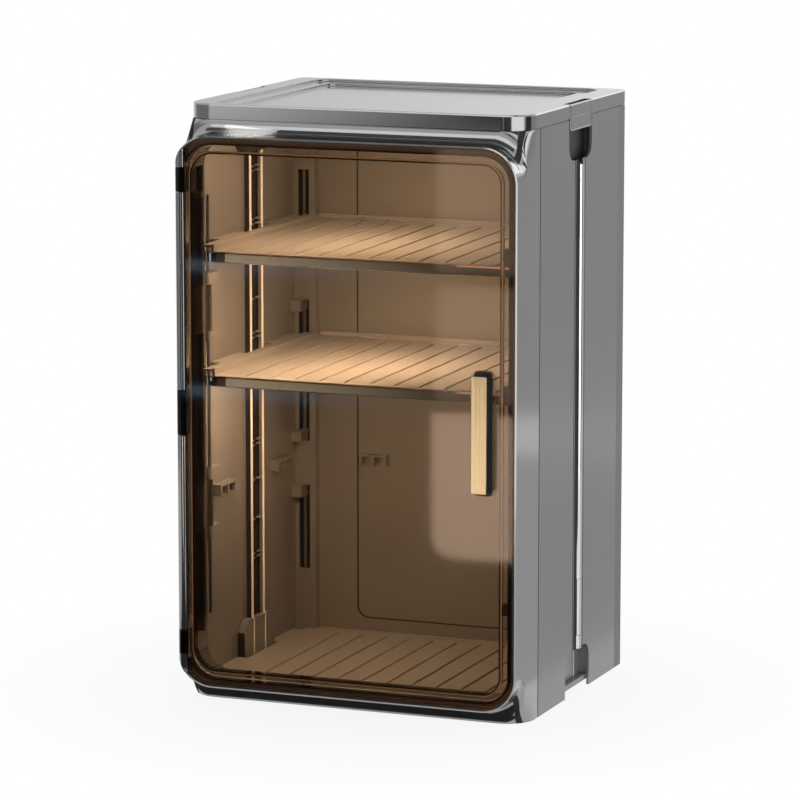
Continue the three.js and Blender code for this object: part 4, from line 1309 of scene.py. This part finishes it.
@dataclass
class Handle:
    """Clear base, dark body on a wider foot and a gold strip with a border and three grooves."""

    centre: Point = (155.0, 309.5)
    width: float = 16.4
    length: float = 121.0
    base_front: float = -30.7
    base_thickness: float = 1.6
    base_margin: Point = (5.5, 4.5)
    base_radius: float = 9.0
    foot_front: float = -31.4
    foot_margin: Point = (2.0, 3.8)
    foot_radius: float = 4.5
    body_front: float = -42.0
    body_depth: float = 11.0
    strip_front: float = -44.7
    strip_depth: float = 2.4
    border: float = 2.0
    panel_drop: float = 0.6
    grooves: int = 3
    groove_width: float = 1.4
    groove_drop: float = 0.7
    groove_margin: float = 10.0

    def build(self) -> list[bpy.types.Object]:
        """Makes the handle's pieces.

        Returns:
            The pieces.
        """
        half_x, half_z = self.width / 2, self.length / 2
        wide, high = half_x + self.base_margin[0], half_z + self.base_margin[1]
        base = self._block(wide, high, self.base_front, self.base_thickness, self.base_radius, (0.7, 0.1))
        body = self._block(half_x, half_z, self.body_front, self.body_depth, 1.6, (0.3, 0.6))
        strip = self._block(half_x, half_z, self.strip_front, self.strip_depth, 1.4, (0.5, 0.2))
        wide, high = half_x + self.foot_margin[0], half_z + self.foot_margin[1]
        depth = self.base_front - self.foot_front
        foot = self._block(wide, high, self.foot_front, depth, self.foot_radius, (0.2, 0.0))
        inner_x, inner_z = half_x - self.border, half_z - self.border
        panel = self._block(inner_x, inner_z, self.strip_front, self.panel_drop, 0.6, (-0.25, 0.15))
        strip.cut(panel)
        pitch = 2 * inner_x / self.grooves
        front, groove_half = self.strip_front + self.panel_drop, self.groove_width / 2
        reach = half_z - self.groove_margin
        for number in range(self.grooves):
            x = self.centre[0] + (number - (self.grooves - 1) / 2) * pitch
            strip.cut(
                bar(
                    Along.Y,
                    (x - groove_half, x + groove_half),
                    (self.centre[1] - reach, self.centre[1] + reach),
                    (front, front + self.groove_drop),
                    groove_half - 0.05,
                    (-0.2, 0.3),
                )
            )
        return [
            base.piece("handle_seat", Skin.SEAT, "door", ["handle_base"]),
            foot.piece("handle_foot", Skin.DARK, "door"),
            body.piece("handle_grip", Skin.DARK, "door", ["handle_body"]),
            strip.piece("handle_face", Skin.GOLD, "door", ["handle_strip"]),
        ]

    def _block(
        self, half_x: float, half_z: float, front: float, depth: float, radius: float, ends: Point
    ) -> Solid:
        """A rounded block round the handle's middle.

        Args:
            half_x: half its width.
            half_z: half its length.
            front: its front face.
            depth: its depth.
            radius: its corners' radius.
            ends: rounding of its front and rear edge.

        Returns:
            The block.
        """
        x, z = self.centre
        across, up = (x - half_x, x + half_x), (z - half_z, z + half_z)
        return bar(Along.Y, across, up, (front, front + depth), radius, ends)


@dataclass
class Tray:
    """A ribbed plate that lies between the walls: a shelf or the floor."""

    name: str
    node: str
    foot: float
    skin: float
    rib_height: float
    front: float
    rib_front: float
    is_shelf: bool
    rib_count: int = 11
    rib_pitch: float = 28.0
    rib_width: float = 25.0
    rib_edge: float = 0.9
    rib_run: float = 8.0
    rib_gap: float = 6.0
    rib_shares: tuple[float, ...] = (0.1, 1.0, 1.0, 0.3)
    sunk: Point = (6.9, 3.5)
    field_half: float = 161.0
    field_lap: float = 0.4
    wing: float = 186.0
    notch_half: float = 43.4
    lug_reach: float = 54.9
    rear_lug_reach: float = 272.6
    rim_width: float = 2.5
    rim_height: float = 0.8
    skirt: float = 18.5
    skirt_wall: float = 2.4
    dip_half: float = 26.0
    dip_rear: float = 9.0
    dip_span: float = 9.0
    dip_drop: float = 1.2

    def build(self) -> bpy.types.Object:
        """Makes the tray.

        Returns:
            The piece.
        """
        top = self.foot + self.skin
        tray = plate(self._outline(), (self.foot, top))
        if self.is_shelf:
            tray.cut(self._room(top)).join(self._field(top), *self._rims(top))
        dip_back = PLAN.rear_edge - self.dip_rear
        rib_rear = dip_back - self.dip_span - self.rib_gap
        first = -self.rib_pitch * (self.rib_count - 1) / 2
        for number in range(self.rib_count):
            tray.join(self._rib(first + number * self.rib_pitch, top, rib_rear))
        surface = top - self._sink(dip_back)
        tray.cut(self._dip(surface, dip_back))
        return tray.piece(self.name, Skin.SHELF, self.node, [self.node])

    def _sink(self, y: float) -> float:
        """How far a shelf's field lies below its wings at a depth.

        Args:
            y: the depth.

        Returns:
            The distance, 0 for the floor.
        """
        if not self.is_shelf:
            return 0.0
        share = (y - self.front) / (PLAN.rear_edge - self.front)
        return self.sunk[0] + (self.sunk[1] - self.sunk[0]) * share

    def _room(self, top: float) -> Solid:
        """The space of the field, left free by the wings."""
        depth = (self.front - OVER, PLAN.rear_edge + OVER)
        return bar(Along.Z, (-self.field_half, self.field_half), depth, (self.foot - OVER, top + OVER))

    def _field(self, top: float) -> Solid:
        """The shelf's field, which falls slightly to the front.

        Args:
            top: height of the shelf's wings.

        Returns:
            The solid.
        """
        half = self.field_half + self.field_lap
        rings = []
        for y in (self.front, PLAN.rear_edge):
            low, high = self.foot - self._sink(y), top - self._sink(y)
            rings.append([(-half, y, low), (half, y, low), (half, y, high), (-half, y, high)])
        return Solid(rings)

    def _rib(self, x: float, top: float, rear: float) -> Solid:
        """One rib, which follows the field and ends in a slope.

        Args:
            x: its middle.
            top: height of the tray's plate.
            rear: where it ends.

        Returns:
            The rib.
        """
        span = (x - self.rib_width / 2, x + self.rib_width / 2)
        corners = [(LEAST, LEAST)] * 2 + [(self.rib_edge, self.rib_edge)] * 2
        rings = []
        ends = (self.rib_front, self.rib_front + self.rib_run, rear - 2 * self.rib_height, rear)
        for y, share in zip(ends, self.rib_shares):
            low = top - self.skin / 2 - self._sink(y)
            high = top + self.rib_height * share - self._sink(y)
            rings.append([(u, y, v) for u, v in rounded(span, (low, high), corners, steps=4)])
        return Solid(rings)

    def _dip(self, top: float, back: float) -> Solid:
        """The finger dip near the rear edge.

        Args:
            top: height of the field there.
            back: the dip's rear end.

        Returns:
            The dip, to be cut out.
        """
        across, depth = (-self.dip_half, self.dip_half), (back - self.dip_span, back)
        radius = self.dip_span / 2 - 0.05
        return bar(Along.Z, across, depth, (top - self.dip_drop, top), radius, (0.4, -0.4))

    def _outline(self) -> list[Point]:
        """The plate's outline, narrow at the lugs, the middle rails and the rear posts.

        Returns:
            Its points, anticlockwise from the front right corner.
        """
        rear_x = PLAN.half_width - PLAN.post_width - PLAN.post_gap
        half = [
            (PLAN.inner_half, self.front),
            (PLAN.inner_half, self.lug_reach),
            (self.wing, self.lug_reach),
            (self.wing, PLAN.middle - self.notch_half),
            (PLAN.inner_half, PLAN.middle - self.notch_half),
            (PLAN.inner_half, PLAN.middle + self.notch_half),
            (self.wing, PLAN.middle + self.notch_half),
            (self.wing, self.rear_lug_reach),
            (PLAN.inner_half, self.rear_lug_reach),
            (PLAN.inner_half, PLAN.rear_seam - PLAN.post_gap),
            (rear_x, PLAN.rear_seam - PLAN.post_gap),
            (rear_x, PLAN.rear_edge),
        ]
        return half + [(-x, y) for x, y in reversed(half)]

    def _rims(self, top: float) -> list[Solid]:
        """The shelf's raised rims at the rear and the sides, and the skirt below its front edge.

        Args:
            top: height of the shelf's wings.

        Returns:
            The rims and the skirt.
        """
        inner, outer = self.field_half, self.field_half + self.rim_width
        rear_x = PLAN.half_width - PLAN.post_width - PLAN.post_gap
        soft = (0.0, 0.0, 0.5, 0.5)
        low = top - max(self.sunk) - self.skin / 2
        height = (low, top + self.rim_height)
        rear_depth = (PLAN.rear_edge - self.rim_width, PLAN.rear_edge)
        skirt_depth = (self.front, self.front + self.skirt_wall)
        width = (-PLAN.inner_half, PLAN.inner_half)
        rims = [
            bar(Along.X, rear_depth, height, (-rear_x, rear_x), soft),
            bar(Along.X, skirt_depth, (top - self.skirt, low), width, (0.8, 0.8, 0.0, 0.0)),
        ]
        run = (self.front, PLAN.rear_seam - PLAN.post_gap)
        rims += [bar(Along.Y, (sign * inner, sign * outer), height, run, soft) for sign in SIDES]
        return rims


@dataclass
class ShelfBar:
    """Metal bar across a shelf's front, with rounded edges, hung from the shelf's level."""

    name: str
    node: str
    body: str
    level: float
    drop: float = 15.2
    height: float = 11.0
    thickness: float = 2.4
    front: float = 5.3

    def build(self) -> bpy.types.Object:
        """Makes the bar.

        Returns:
            The piece.
        """
        foot = self.level - self.drop
        blank = bar(
            Along.X,
            (self.front, self.front + self.thickness),
            (foot, foot + self.height),
            (-PLAN.inner_half, PLAN.inner_half),
            0.8,
            (0.3, 0.3),
        )
        return blank.piece(self.name, Skin.BAR, self.body, [self.node])


@dataclass
class Latch:
    """Latch on the lid's edge: a plate over the finger recess, with a barrel, groove and pull lip."""

    side: str
    sign: int
    axis: Point = (188.2, 629.1)
    width: float = 68.0
    height: float = 28.0
    radius: float = 2.3
    rise: float = 2.4
    drop: float = 25.1
    plate: float = 2.2
    plate_corner: float = 3.0
    bore: float = 1.5
    groove: float = 0.6
    groove_margin: float = 4.0
    line_margin: float = 3.2
    line_half: float = 0.35
    line_depth: float = 0.4
    line_span: Point = (3.0, 1.0)
    catch_margin: float = 8.0
    catch_height: Span = (2.4, 5.6)
    catch_reach: float = 1.6
    lip_margin: float = 2.4
    lip_height: float = 1.2
    lip_reach: float = 0.6

    def build(self) -> bpy.types.Object:
        """Makes the latch.

        Returns:
            The piece.
        """
        x, z = self.axis
        span = self._along(0.0)
        outer, inner = x + self.radius, x + self.radius - self.plate
        foot, top = z - self.drop, z + self.rise
        corners = (self.plate_corner, self.plate_corner, 0.0, 0.0)
        latch = bar(Along.X, span, (foot, z + 1), self._across(inner, outer), corners, self._ends(0.2, 0.5))
        latch.join(
            rod(Along.Y, (self.sign * x, z), span, self.radius, steps=10),
            bar(Along.Y, self._across(x, outer), (z, top), span, self._round_top(), (0.3, 0.3)),
            bar(
                Along.X,
                self._along(self.catch_margin),
                (foot + self.catch_height[0], foot + self.catch_height[1]),
                self._across(inner - self.catch_reach, inner + 1),
                0.8,
            ),
            bar(
                Along.Y,
                self._across(inner, outer + self.lip_reach),
                (foot, foot + self.lip_height),
                self._along(self.lip_margin),
                0.4,
                (0.5, 0.5),
            ),
        )
        groove_foot = foot + self.height / 2
        latch.cut(
            bar(
                Along.X,
                self._along(self.groove_margin),
                (groove_foot, groove_foot + self.groove),
                self._across(outer - self.groove, outer + OVER),
            ),
            rod(Along.Y, (self.sign * x, z), self._along(-OVER), self.bore),
        )
        for edge in self._along(self.line_margin):
            latch.cut(
                bar(
                    Along.Z,
                    self._across(outer - self.line_depth, outer + OVER),
                    (edge - self.line_half, edge + self.line_half),
                    (foot + self.line_span[0], top - self.line_span[1]),
                )
            )
        name = f"{self.side}_latch"
        return latch.piece(f"{name}_plate", Skin.CASE, name, [name])

    def _along(self, margin: float) -> Span:
        """The latch's span along y, drawn in by a margin."""
        return PLAN.middle - self.width / 2 + margin, PLAN.middle + self.width / 2 - margin

    def _across(self, low: float, high: float) -> Span:
        """A span along x on this latch's side."""
        return tuple(sorted((self.sign * low, self.sign * high)))

    def _ends(self, inside: float, outside: float) -> Point:
        """Roundings of the inner and the outer face, in the order of x."""
        return (inside, outside) if self.sign > 0 else (outside, inside)

    def _round_top(self) -> tuple[float, float, float, float]:
        """Corner radii with the outer upper corner rounded."""
        return (0.0, 0.0, 1.2, 0.0) if self.sign > 0 else (0.0, 0.0, 0.0, 1.2)


@dataclass
class BackGrooveShade:
    """Dark ring in the groove round the back's inset field, painted as the groove's shade."""

    half: float = 117.4
    foot: float = 29.6
    top: float = 595.9
    radius: float = 13.9
    width: float = 1.4
    depth: Span = (296.9, 298.1)

    def build(self) -> bpy.types.Object:
        """Makes the ring of painted shade.

        Returns:
            The piece.
        """
        line = self._field(0.0, self.depth)
        line.cut(self._field(self.width, (self.depth[0] - OVER, self.depth[1] + OVER)))
        # A dark ring where the groove has only shade: painted shade.
        return line.piece("back_groove_shade", Skin.DARK, "case")

    def _field(self, inset: float, y: Span) -> Solid:
        """The field's outline, drawn in and run between two depths."""
        across, up = (inset - self.half, self.half - inset), (self.foot + inset, self.top - inset)
        return bar(Along.Y, across, up, y, self.radius - inset, steps=8)


NODE_SKINS: dict[str, tuple[Skin, float]] = {
    "left_front_panel": (Skin.PANEL, 0.3),
    "left_rear_panel": (Skin.PANEL, 0.3),
    "right_front_panel": (Skin.PANEL, 0.3),
    "right_rear_panel": (Skin.PANEL, 0.3),
    "back_panel": (Skin.REAR, 0.5),
    "base_board": (Skin.REAR, 0.5),
    "lower_strike_plate": (Skin.DARK, 0.2),
    "upper_strike_plate": (Skin.DARK, 0.2),
    "left_recess_cup": (Skin.DARK, 0.4),
    "right_recess_cup": (Skin.DARK, 0.4),
    "left_notch_housing": (Skin.PANEL, 0.4),
    "right_notch_housing": (Skin.PANEL, 0.4),
    "door_stiffener": (Skin.LEAF, 0.3),
    "lower_door_magnet": (Skin.DARK, 0.5),
    "upper_door_magnet": (Skin.DARK, 0.5),
}


def dress_rest(nodes: dict[str, bpy.types.Object]) -> None:
    """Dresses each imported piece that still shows; rods, pins and plates that aren't listed are steel.

    Args:
        nodes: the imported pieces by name.
    """
    stood_for = {"front_frame", "top_lid", "door_panel", "handle_base", "handle_body", "handle_strip"}
    stood_for |= {"floor_plate", "lower_shelf", "upper_shelf", "lower_shelf_bar", "upper_shelf_bar"}
    stood_for |= {"left_latch", "right_latch"}
    for name, node in nodes.items():
        if name in stood_for:
            continue
        skin, edge = NODE_SKINS.get(name, (Skin.STEEL, 0.2))
        dress(node, skin, edge)


# Studio


def faced(place: Place, target: Place) -> Matrix:
    """A turn and place, in metres, that faces a target, both given in mm."""
    towards = Vector(target) - Vector(place)
    return Matrix.Translation(Vector(place) * MM) @ towards.to_track_quat("-Z", "Y").to_matrix().to_4x4()


@dataclass(frozen=True)
class Card:
    """A flat card that shows only in reflections: a softbox, a grey board or a dark flag.

    Fields: name, its outline across and up in mm, its middle, what it faces, its level, the level that it
    falls to at its right, if any, and its tone.
    """

    name: str
    outline: tuple[Point, ...]
    place: Place
    target: Place
    level: float
    far_level: float | None = None
    tone: Colour = (1.0, 1.0, 1.0)

    def build(self) -> None:
        """Makes the card."""
        mesh = bpy.data.meshes.new(self.name)
        mesh.from_pydata([(x * MM, y * MM, 0) for x, y in self.outline], [], [range(len(self.outline))])
        card = bpy.data.objects.new(self.name, mesh)
        card.matrix_world = faced(self.place, self.target)
        bpy.context.scene.collection.objects.link(card)
        material, graph = new_material(self.name)
        values: dict[str | int, object] = {"Color": (*self.tone, 1), "Strength": self.level}
        if self.far_level is not None:
            values["Color"] = self._fall(graph)
        light = graph.add("ShaderNodeEmission", None, values)
        graph.add("ShaderNodeOutputMaterial", None, {"Surface": light})
        mesh.materials.append(material)
        card.visible_camera = False
        card.visible_diffuse = False
        card.visible_transmission = False
        card.visible_shadow = False

    def _fall(self, graph: Graph) -> Wire:
        """The card's colour, falling from its left edge to its right one.

        Args:
            graph: the card's material.

        Returns:
            The colour.
        """
        across = graph.add("ShaderNodeTexCoord", output="Generated")
        share = graph.add("ShaderNodeSeparateXYZ", None, {0: across})
        far = self.far_level / self.level
        return graph.blend(share, self.tone, tuple(far * channel for channel in self.tone))


def board(width: float, height: float) -> tuple[Point, ...]:
    """The outline of a rectangular card round its middle."""
    x, y = width / 2, height / 2
    return (-x, -y), (x, -y), (x, y), (-x, y)


@dataclass(frozen=True)
class Lamp:
    """A soft rectangular lamp that gloss and the camera don't see.

    Fields: name, place and target in mm, width and height in mm, watts and colour.
    """

    name: str
    place: Place
    target: Place
    size: Point
    power: float
    colour: Colour = (1.0, 1.0, 1.0)

    def build(self) -> None:
        """Makes the lamp."""
        data = bpy.data.lights.new(self.name, "AREA")
        data.shape = "RECTANGLE"
        data.size = self.size[0] * MM
        data.size_y = self.size[1] * MM
        data.energy = self.power
        data.color = self.colour
        lamp = bpy.data.objects.new(self.name, data)
        lamp.matrix_world = faced(self.place, self.target)
        lamp.visible_camera = False
        lamp.visible_glossy = False
        bpy.context.scene.collection.objects.link(lamp)


def door_light() -> tuple[Point, ...]:
    """The outline of the light card ahead of the door, with a round lower left corner.

    Returns:
        The outline.
    """
    left, right, low, high, radius = -53.0, 53.0, -92.0, 92.0, 26.0
    inner = arc((left + radius, low + radius), (radius, radius), 2, 8)
    return (*inner, (right, low), (right, high), (left, high))


@dataclass
class Studio:
    """Camera, floor, world, lamps and cards, fitted to the photograph's view."""

    camera_place: Place = (1672.61, -4226.52, 1072.88)
    camera_towards: Place = (-0.36319, 0.91685, -0.16574)
    lens: float = 194.54
    floor_size: float = 14000.0
    front_y: float = -763.0
    inner_colour: Colour = (1.0, 0.97, 0.92)
    lamps: tuple[Lamp, ...] = (
        Lamp("key", (900.0, -1500.0, 760.0), (-80.0, 0.0, 420.0), (700.0, 900.0), 6.0),
        Lamp("fill", (-1500.0, -1700.0, 1500.0), (0.0, 0.0, 350.0), (1400.0, 1400.0), 4.0),
        Lamp("side", (2300.0, 700.0, 1300.0), (0.0, 0.0, 320.0), (1400.0, 1600.0), 8.0),
        Lamp("top", (-200.0, 500.0, 2600.0), (0.0, 0.0, 600.0), (1600.0, 1600.0), 14.0),
        Lamp("back", (-700.0, 2400.0, 1400.0), (0.0, 0.0, 320.0), (1800.0, 1500.0), 20.0),
        Lamp("wall_lamp", (-120.0, -75.0, 318.0), (-187.0, -60.0, 280.0), (60.0, 24.0), 0.17, inner_colour),
    )
    inner_lamps: tuple[tuple[str, float, float], ...] = (
        ("lid_lamp", 611.0, 1.5),
        ("upper_lamp", 472.0, 1.95),
        ("lower_lamp", 340.5, 1.35),
    )
    inner_size: Point = (230.0, 70.0)
    inner_place: Point = (-50.0, -70.0)
    inner_aim: Place = (-6.0, 8.0, -100.0)
    light_y: float = 3.0
    bars: tuple[tuple[str, float], ...] = (("upper_bar", 377.6), ("lower_bar", 226.0))
    bar_half: float = 7.0
    bar_ends: tuple[float, float, float] = (-459.0, -110.0, 0.0)
    bar_nearer: float = 6.0

    def build(self) -> None:
        """Makes the camera, the floor, the world, the lamps and the cards."""
        self._camera()
        self._floor()
        self._world()
        for name, z, power in self.inner_lamps:
            place = (*self.inner_place, z)
            target = tuple(start + step for start, step in zip(place, self.inner_aim))
            Lamp(name, place, target, self.inner_size, power, self.inner_colour).build()
        for item in (*self.lamps, *self._cards()):
            item.build()
        bpy.context.scene.view_settings.view_transform = "Standard"

    def _ahead(
        self,
        name: str,
        x: Span,
        z: Span,
        level: float,
        far_level: float | None = None,
        nearer: float = 0.0,
        tone: Colour = (1.0, 1.0, 1.0),
    ) -> Card:
        """A rectangular card ahead of the door.

        Args:
            name: its name.
            x: its span across.
            z: its span of heights.
            level: its level.
            far_level: the level that it falls to at its right.
            nearer: how much nearer it stands than the others.
            tone: its tone.

        Returns:
            The card.
        """
        middle = ((x[0] + x[1]) / 2, (z[0] + z[1]) / 2)
        y = self.front_y + nearer
        place, target = (middle[0], y, middle[1]), (middle[0], 0.0, middle[1])
        return Card(name, board(x[1] - x[0], z[1] - z[0]), place, target, level, far_level, tone)

    def _cards(self) -> list[Card]:
        """The cards that the glossy surfaces reflect.

        Returns:
            The cards.
        """
        warm = (1.0, 0.86, 0.74)
        corner = (190.0, -134.0, 420.0)
        nearer = self.front_y + self.light_y
        cards = [
            self._ahead("dark_front", (-470.0, 500.0), (-10.0, 533.0), 0.03),
            self._ahead("lid_fall", (-470.0, -90.0), (533.0, 700.0), 1.4, 0.06),
            self._ahead("lid_dark", (-90.0, 500.0), (533.0, 700.0), 0.06),
            self._ahead("lid_line", (85.0, 125.0), (533.0, 700.0), 0.5, nearer=self.light_y),
            Card("door_light", door_light(), (-81.0, nearer, 137.0), (-81.0, 0.0, 137.0), 3.1, tone=warm),
            self._ahead("upper_light", (-128.0, -28.0), (229.0, 531.0), 1.1, None, self.light_y, warm),
            Card("near_ground", board(700.0, 540.0), (-130.0, -510.0, -0.1), (-130.0, -510.0, 900.0), 0.02),
            Card("foot_ground", board(640.0, 19.4), (-130.0, -148.5, -0.1), (-130.0, -148.5, 900.0), 0.02),
            Card("softbox", board(1250.0, 1500.0), (1085.0, -885.0, 420.0), corner, 2.2),
            Card("dark_side", board(700.0, 1500.0), (1471.0, 98.0, 420.0), corner, 0.03),
            Card("grey_side", board(1900.0, 760.0), (1290.0, 1330.0, 300.0), corner, 0.54),
            Card("side_sky", board(1900.0, 500.0), (1290.0, 1330.0, 1060.0), (190.0, 30.0, 632.0), 2.2),
            Card("side_ground", board(1400.0, 1400.0), (950.0, 650.0, -0.1), (950.0, 650.0, 900.0), 0.62),
            Card("left_grey", board(2000.0, 1500.0), (-1405.0, -602.0, 420.0), (-190.0, -160.0, 420.0), 0.4),
            Card("sky", board(1900.0, 760.0), (0.0, -1100.0, 1700.0), (0.0, -100.0, 600.0), 1.9),
            Card("dark_top", board(1700.0, 640.0), (-100.0, -290.0, 1500.0), (-100.0, -290.0, 0.0), 0.12),
            Card("behind", board(1500.0, 700.0), (-545.0, 1375.0, 884.0), (0.0, 22.0, 632.0), 1.15, 0.42),
        ]
        cool = (1.0, 1.7, 2.7)
        left, middle, right = self.bar_ends
        for name, z in self.bars:
            height = (z - self.bar_half, z + self.bar_half)
            fall = self._ahead(f"{name}_fall", (left, middle), height, 0.52, 0.015, self.bar_nearer, cool)
            dark = self._ahead(f"{name}_dark", (middle, right), height, 0.01, None, self.bar_nearer)
            cards += [fall, dark]
        return cards

    def _camera(self) -> None:
        """Makes the scene's camera."""
        data = bpy.data.cameras.new("camera")
        data.lens = self.lens
        data.sensor_width = 36.0
        data.clip_end = 100.0
        camera = bpy.data.objects.new("camera", data)
        camera.location = Vector(self.camera_place) * MM
        camera.rotation_mode = "QUATERNION"
        camera.rotation_quaternion = Vector(self.camera_towards).to_track_quat("-Z", "Y")
        bpy.context.scene.collection.objects.link(camera)
        bpy.context.scene.camera = camera

    def _floor(self) -> None:
        """Makes the pale floor, which shows near white and keeps a soft shadow."""
        half = self.floor_size / 2 * MM
        mesh = bpy.data.meshes.new("floor")
        corners = [(-half, -half, 0), (half, -half, 0), (half, half, 0), (-half, half, 0)]
        mesh.from_pydata(corners, [], [(0, 1, 2, 3)])
        floor = bpy.data.objects.new("floor", mesh)
        floor.location.z = -0.2 * MM
        bpy.context.scene.collection.objects.link(floor)
        material, graph = new_material("floor_white")
        matte = graph.add("ShaderNodeBsdfDiffuse", None, {"Color": (0.82, 0.82, 0.82, 1)})
        white = graph.add("ShaderNodeEmission", None, {"Color": (1, 1, 1, 1), "Strength": 1.0})
        place = graph.add("ShaderNodeTexCoord", output="Object")
        far = graph.add("ShaderNodeVectorMath", {"operation": "LENGTH"}, {0: place}, output=1)
        share = (0.84 + 0.3 * far).at_most(1.0)
        mixed = graph.add("ShaderNodeMixShader", None, {0: share * shown_rays(graph), 1: matte, 2: white})
        graph.add("ShaderNodeOutputMaterial", None, {"Surface": mixed})
        mesh.materials.append(material)

    def _world(self) -> None:
        """Makes the world: white where it shows, a plain soft light elsewhere."""
        world = bpy.data.worlds.new("studio")
        bpy.context.scene.world = world
        world.use_nodes = True
        graph = Graph(world.node_tree)
        shown = graph.add("ShaderNodeBackground", None, {"Color": (1, 1, 1, 1), "Strength": 1.0})
        soft = graph.add("ShaderNodeBackground", None, {"Color": (1, 1, 1, 1), "Strength": 0.17})
        mixed = graph.add("ShaderNodeMixShader", None, {0: shown_rays(graph), 1: soft, 2: shown})
        graph.add("ShaderNodeOutputWorld", None, {"Surface": mixed})


def shown_rays(graph: Graph) -> Wire:
    """1 for rays that show the background: from the camera, in gloss or through clear pieces.

    Args:
        graph: the graph that asks.

    Returns:
        The mask.
    """
    camera = graph.add("ShaderNodeLightPath", output="Is Camera Ray")
    glossy = graph.add("ShaderNodeLightPath", output="Is Glossy Ray")
    passing = graph.add("ShaderNodeLightPath", output="Is Transmission Ray")
    return (camera + glossy + passing).above(0.5)


def main() -> None:
    """Loads the frame, builds and dresses the cabinet and sets up the studio."""
    logging.basicConfig(level=logging.INFO, format="%(message)s")
    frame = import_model()
    Studio().build()
    FrontFrame().build()
    Lid().build()
    Door().build()
    Handle().build()
    BackGrooveShade().build()
    floor = {"foot": 12.3, "skin": 3.6, "rib_height": 2.0, "front": 23.4, "rib_front": 34.0}
    shelf = {"skin": 2.5, "rib_height": 1.8, "front": 8.0, "rib_front": 8.6}
    Tray("floor_tray", "floor_plate", is_shelf=False, **floor).build()
    for name, level in (("lower", 349.0), ("upper", 480.5)):
        node = f"{name}_shelf"
        Tray(f"{name}_tray", node, foot=level, is_shelf=True, **shelf).build()
        ShelfBar(f"{name}_front_bar", f"{name}_shelf_bar", node, level).build()
    for side, sign in (("left", -1), ("right", 1)):
        Latch(side, sign).build()
    dress_rest(frame["nodes"])


if __name__ == "__main__":
    main()
